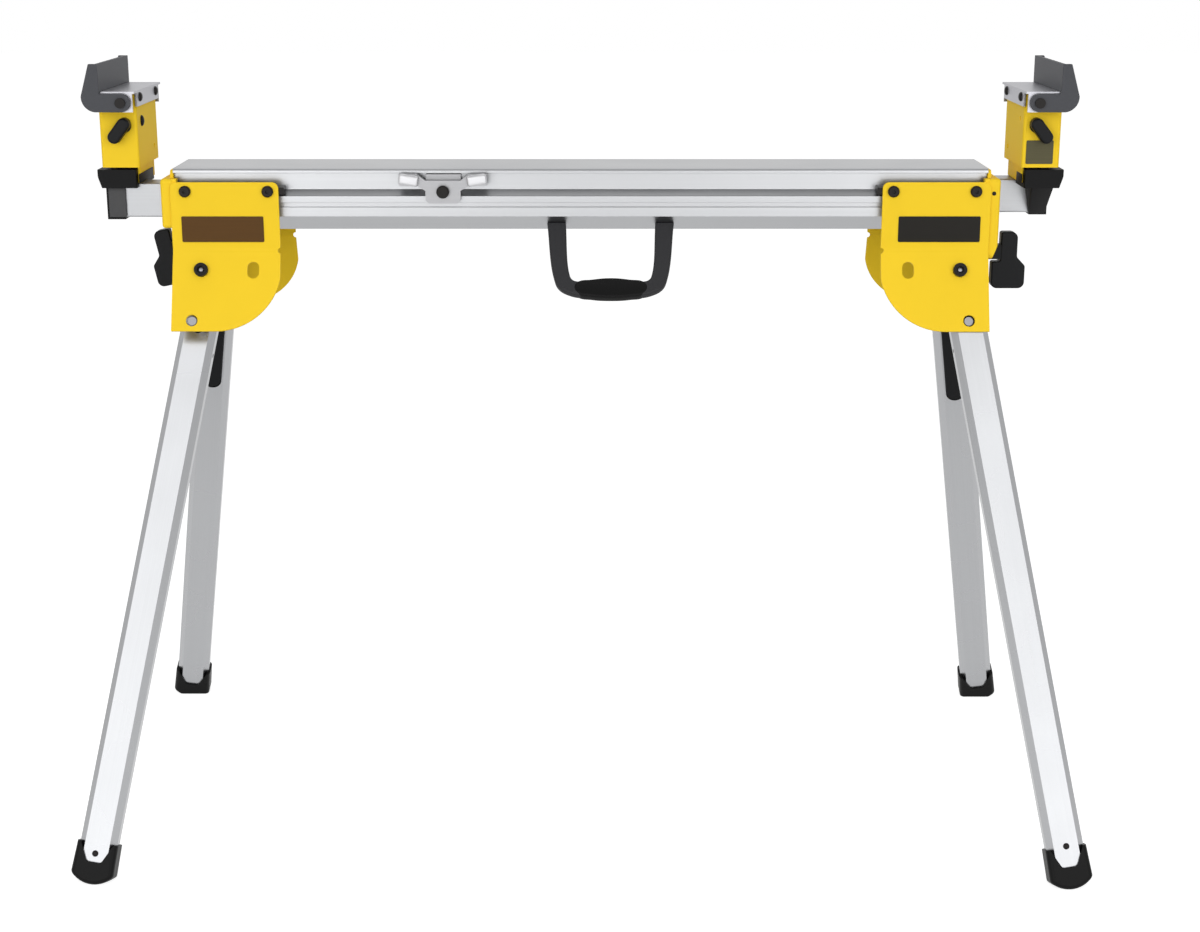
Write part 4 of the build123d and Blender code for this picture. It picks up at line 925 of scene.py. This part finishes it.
# The carry handle is one moulding in dark nylon, screwed square to the beam's lower slope. Its
# arms narrow towards rounded corners, and a softer black grip, fuller in the middle, covers
# the bar between them. The outlines lie in the handle's own plane, from its root.
cad_thickness = 0.016
handle_thickness = 0.0105
handle_sink = 0.0045
handle_round = 0.0034
root_depth = 0.0015
bar_front = -0.1105
bar_back = -0.0835
grip_proud = 0.0009
handle_low, handle_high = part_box("carry_handle")
half_slant = cad_thickness / 2 / math.sqrt(2)
handle_root = Vector(
    (
        (handle_low[0] + handle_high[0]) / 2,
        handle_high[1] - half_slant,
        handle_high[2] - half_slant,
    )
)
handle_slope = Matrix.Rotation(math.radians(45), 4, "X")
handle_frame = Matrix.Translation(handle_root) @ handle_slope
handle_half_outline = (
    ((0.0, bar_front), "AUTO"),
    ((0.0325, -0.1086), "AUTO"),
    ((0.0515, -0.1040), "AUTO"),
    ((0.0635, -0.0955), "AUTO"),
    ((0.0688, -0.0830), "AUTO"),
    ((0.0785, root_depth), "VECTOR"),
    ((0.0553, root_depth), "VECTOR"),
    ((0.0503, -0.0755), "AUTO"),
    ((0.0466, -0.0842), "AUTO"),
    ((0.0396, -0.0870), "AUTO"),
    ((0.0, bar_back), "AUTO"),
)
grip_half_outline = (
    ((0.0, bar_front - grip_proud), "AUTO"),
    ((0.0240, -0.1098), "AUTO"),
    ((0.0400, -0.1060), "AUTO"),
    ((0.0452, -0.0962), "AUTO"),
    ((0.0408, -0.0884), "AUTO"),
    ((0.0230, -0.0848), "AUTO"),
    ((0.0, bar_back + grip_proud), "AUTO"),
)


def moulded_outline(name, half_outline, thickness, finish):
    """A flat symmetrical moulding from one half of its outline, rounded over its edges."""
    smooth_deg = 40
    outline = bpy.data.curves.new(name, "CURVE")
    outline.dimensions = "2D"
    outline.fill_mode = "BOTH"
    outline.resolution_u = 10
    outline.extrude = thickness / 2 - handle_round
    outline.bevel_depth = handle_round
    outline.bevel_resolution = 3
    outline.offset = -handle_round
    mirrored = [((-x, y), kind) for (x, y), kind in reversed(half_outline[1:-1])]
    points = [*half_outline, *mirrored]
    spline = outline.splines.new("BEZIER")
    spline.bezier_points.add(len(points) - 1)
    spline.use_cyclic_u = True
    for point, (place, kind) in zip(spline.bezier_points, points):
        point.co = (*place, 0)
        point.handle_left_type = kind
        point.handle_right_type = kind
    drawn = bpy.data.objects.new(f"{name}_outline", outline)
    bpy.context.scene.collection.objects.link(drawn)
    bpy.context.view_layer.update()
    shape = bmesh.new()
    shape.from_mesh(drawn.to_mesh())
    bpy.data.objects.remove(drawn)
    sunk = Matrix.Translation((0, 0, -handle_sink))
    bmesh.ops.transform(shape, matrix=handle_frame @ sunk, verts=shape.verts)
    bmesh.ops.remove_doubles(shape, verts=shape.verts, dist=same_point)
    bmesh.ops.recalc_face_normals(shape, faces=shape.faces)
    made = add_piece(name, shape, [finish], smooth_deg, "frame")
    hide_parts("carry_handle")


# Nylon for the arms, dark grey and dull, and rubber for the grip: black, with a coarser grain.
handle_nylon = moulded_nylon("handle_nylon", "#323234", roughness=0.5)
grip_rubber = moulded_nylon("grip_rubber", "#0A0A0A", roughness=0.5, grain_mm=1.2, relief=0.25)
grip_thickness = handle_thickness + 2 * grip_proud
moulded_outline("handle_moulding", handle_half_outline, handle_thickness, handle_nylon)
moulded_outline("handle_grip", grip_half_outline, grip_thickness, grip_rubber)

# The clip bracket is a bead-blasted casting, dull grey, that slides along the beam's front channel. Its two
# leaning ears are coloured paler than the body, a painted highlight, and one black screw holds it.
clip_edge = 0.0009
ear_width = 0.0245
ear_height = 0.0135
ear_depth = 0.0075
ear_round = 0.0036
ear_lean = math.radians(9)
ear_rise = 0.0012
blasted = lined_metal("bead_blasted_casting", "#9A9A9C", roughness=0.45)
# A paler casting colour for the ears: a painted highlight.
ear_painted_highlight = lined_metal("pale_casting_painted_highlight", "#C6C6C8", roughness=0.5)
edges_broken("clip_bracket", blasted, clip_edge)
clip_low, clip_high = (Vector(c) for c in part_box("clip_bracket"))
ear_front = clip_low.y - ear_rise
for side, ear_x, lean in (
    ("right", clip_high.x - ear_width, -ear_lean),
    ("left", clip_low.x, ear_lean),
):
    rounded_block(
        f"clip_ear_{side}",
        (ear_x, ear_front, clip_high.z - ear_height),
        (ear_x + ear_width, ear_front + ear_depth, clip_high.z),
        ear_round,
        ear_painted_highlight,
        "clip",
        segments=5,
        lean=lean,
    )
wearing("clip_screw", blacked_steel)
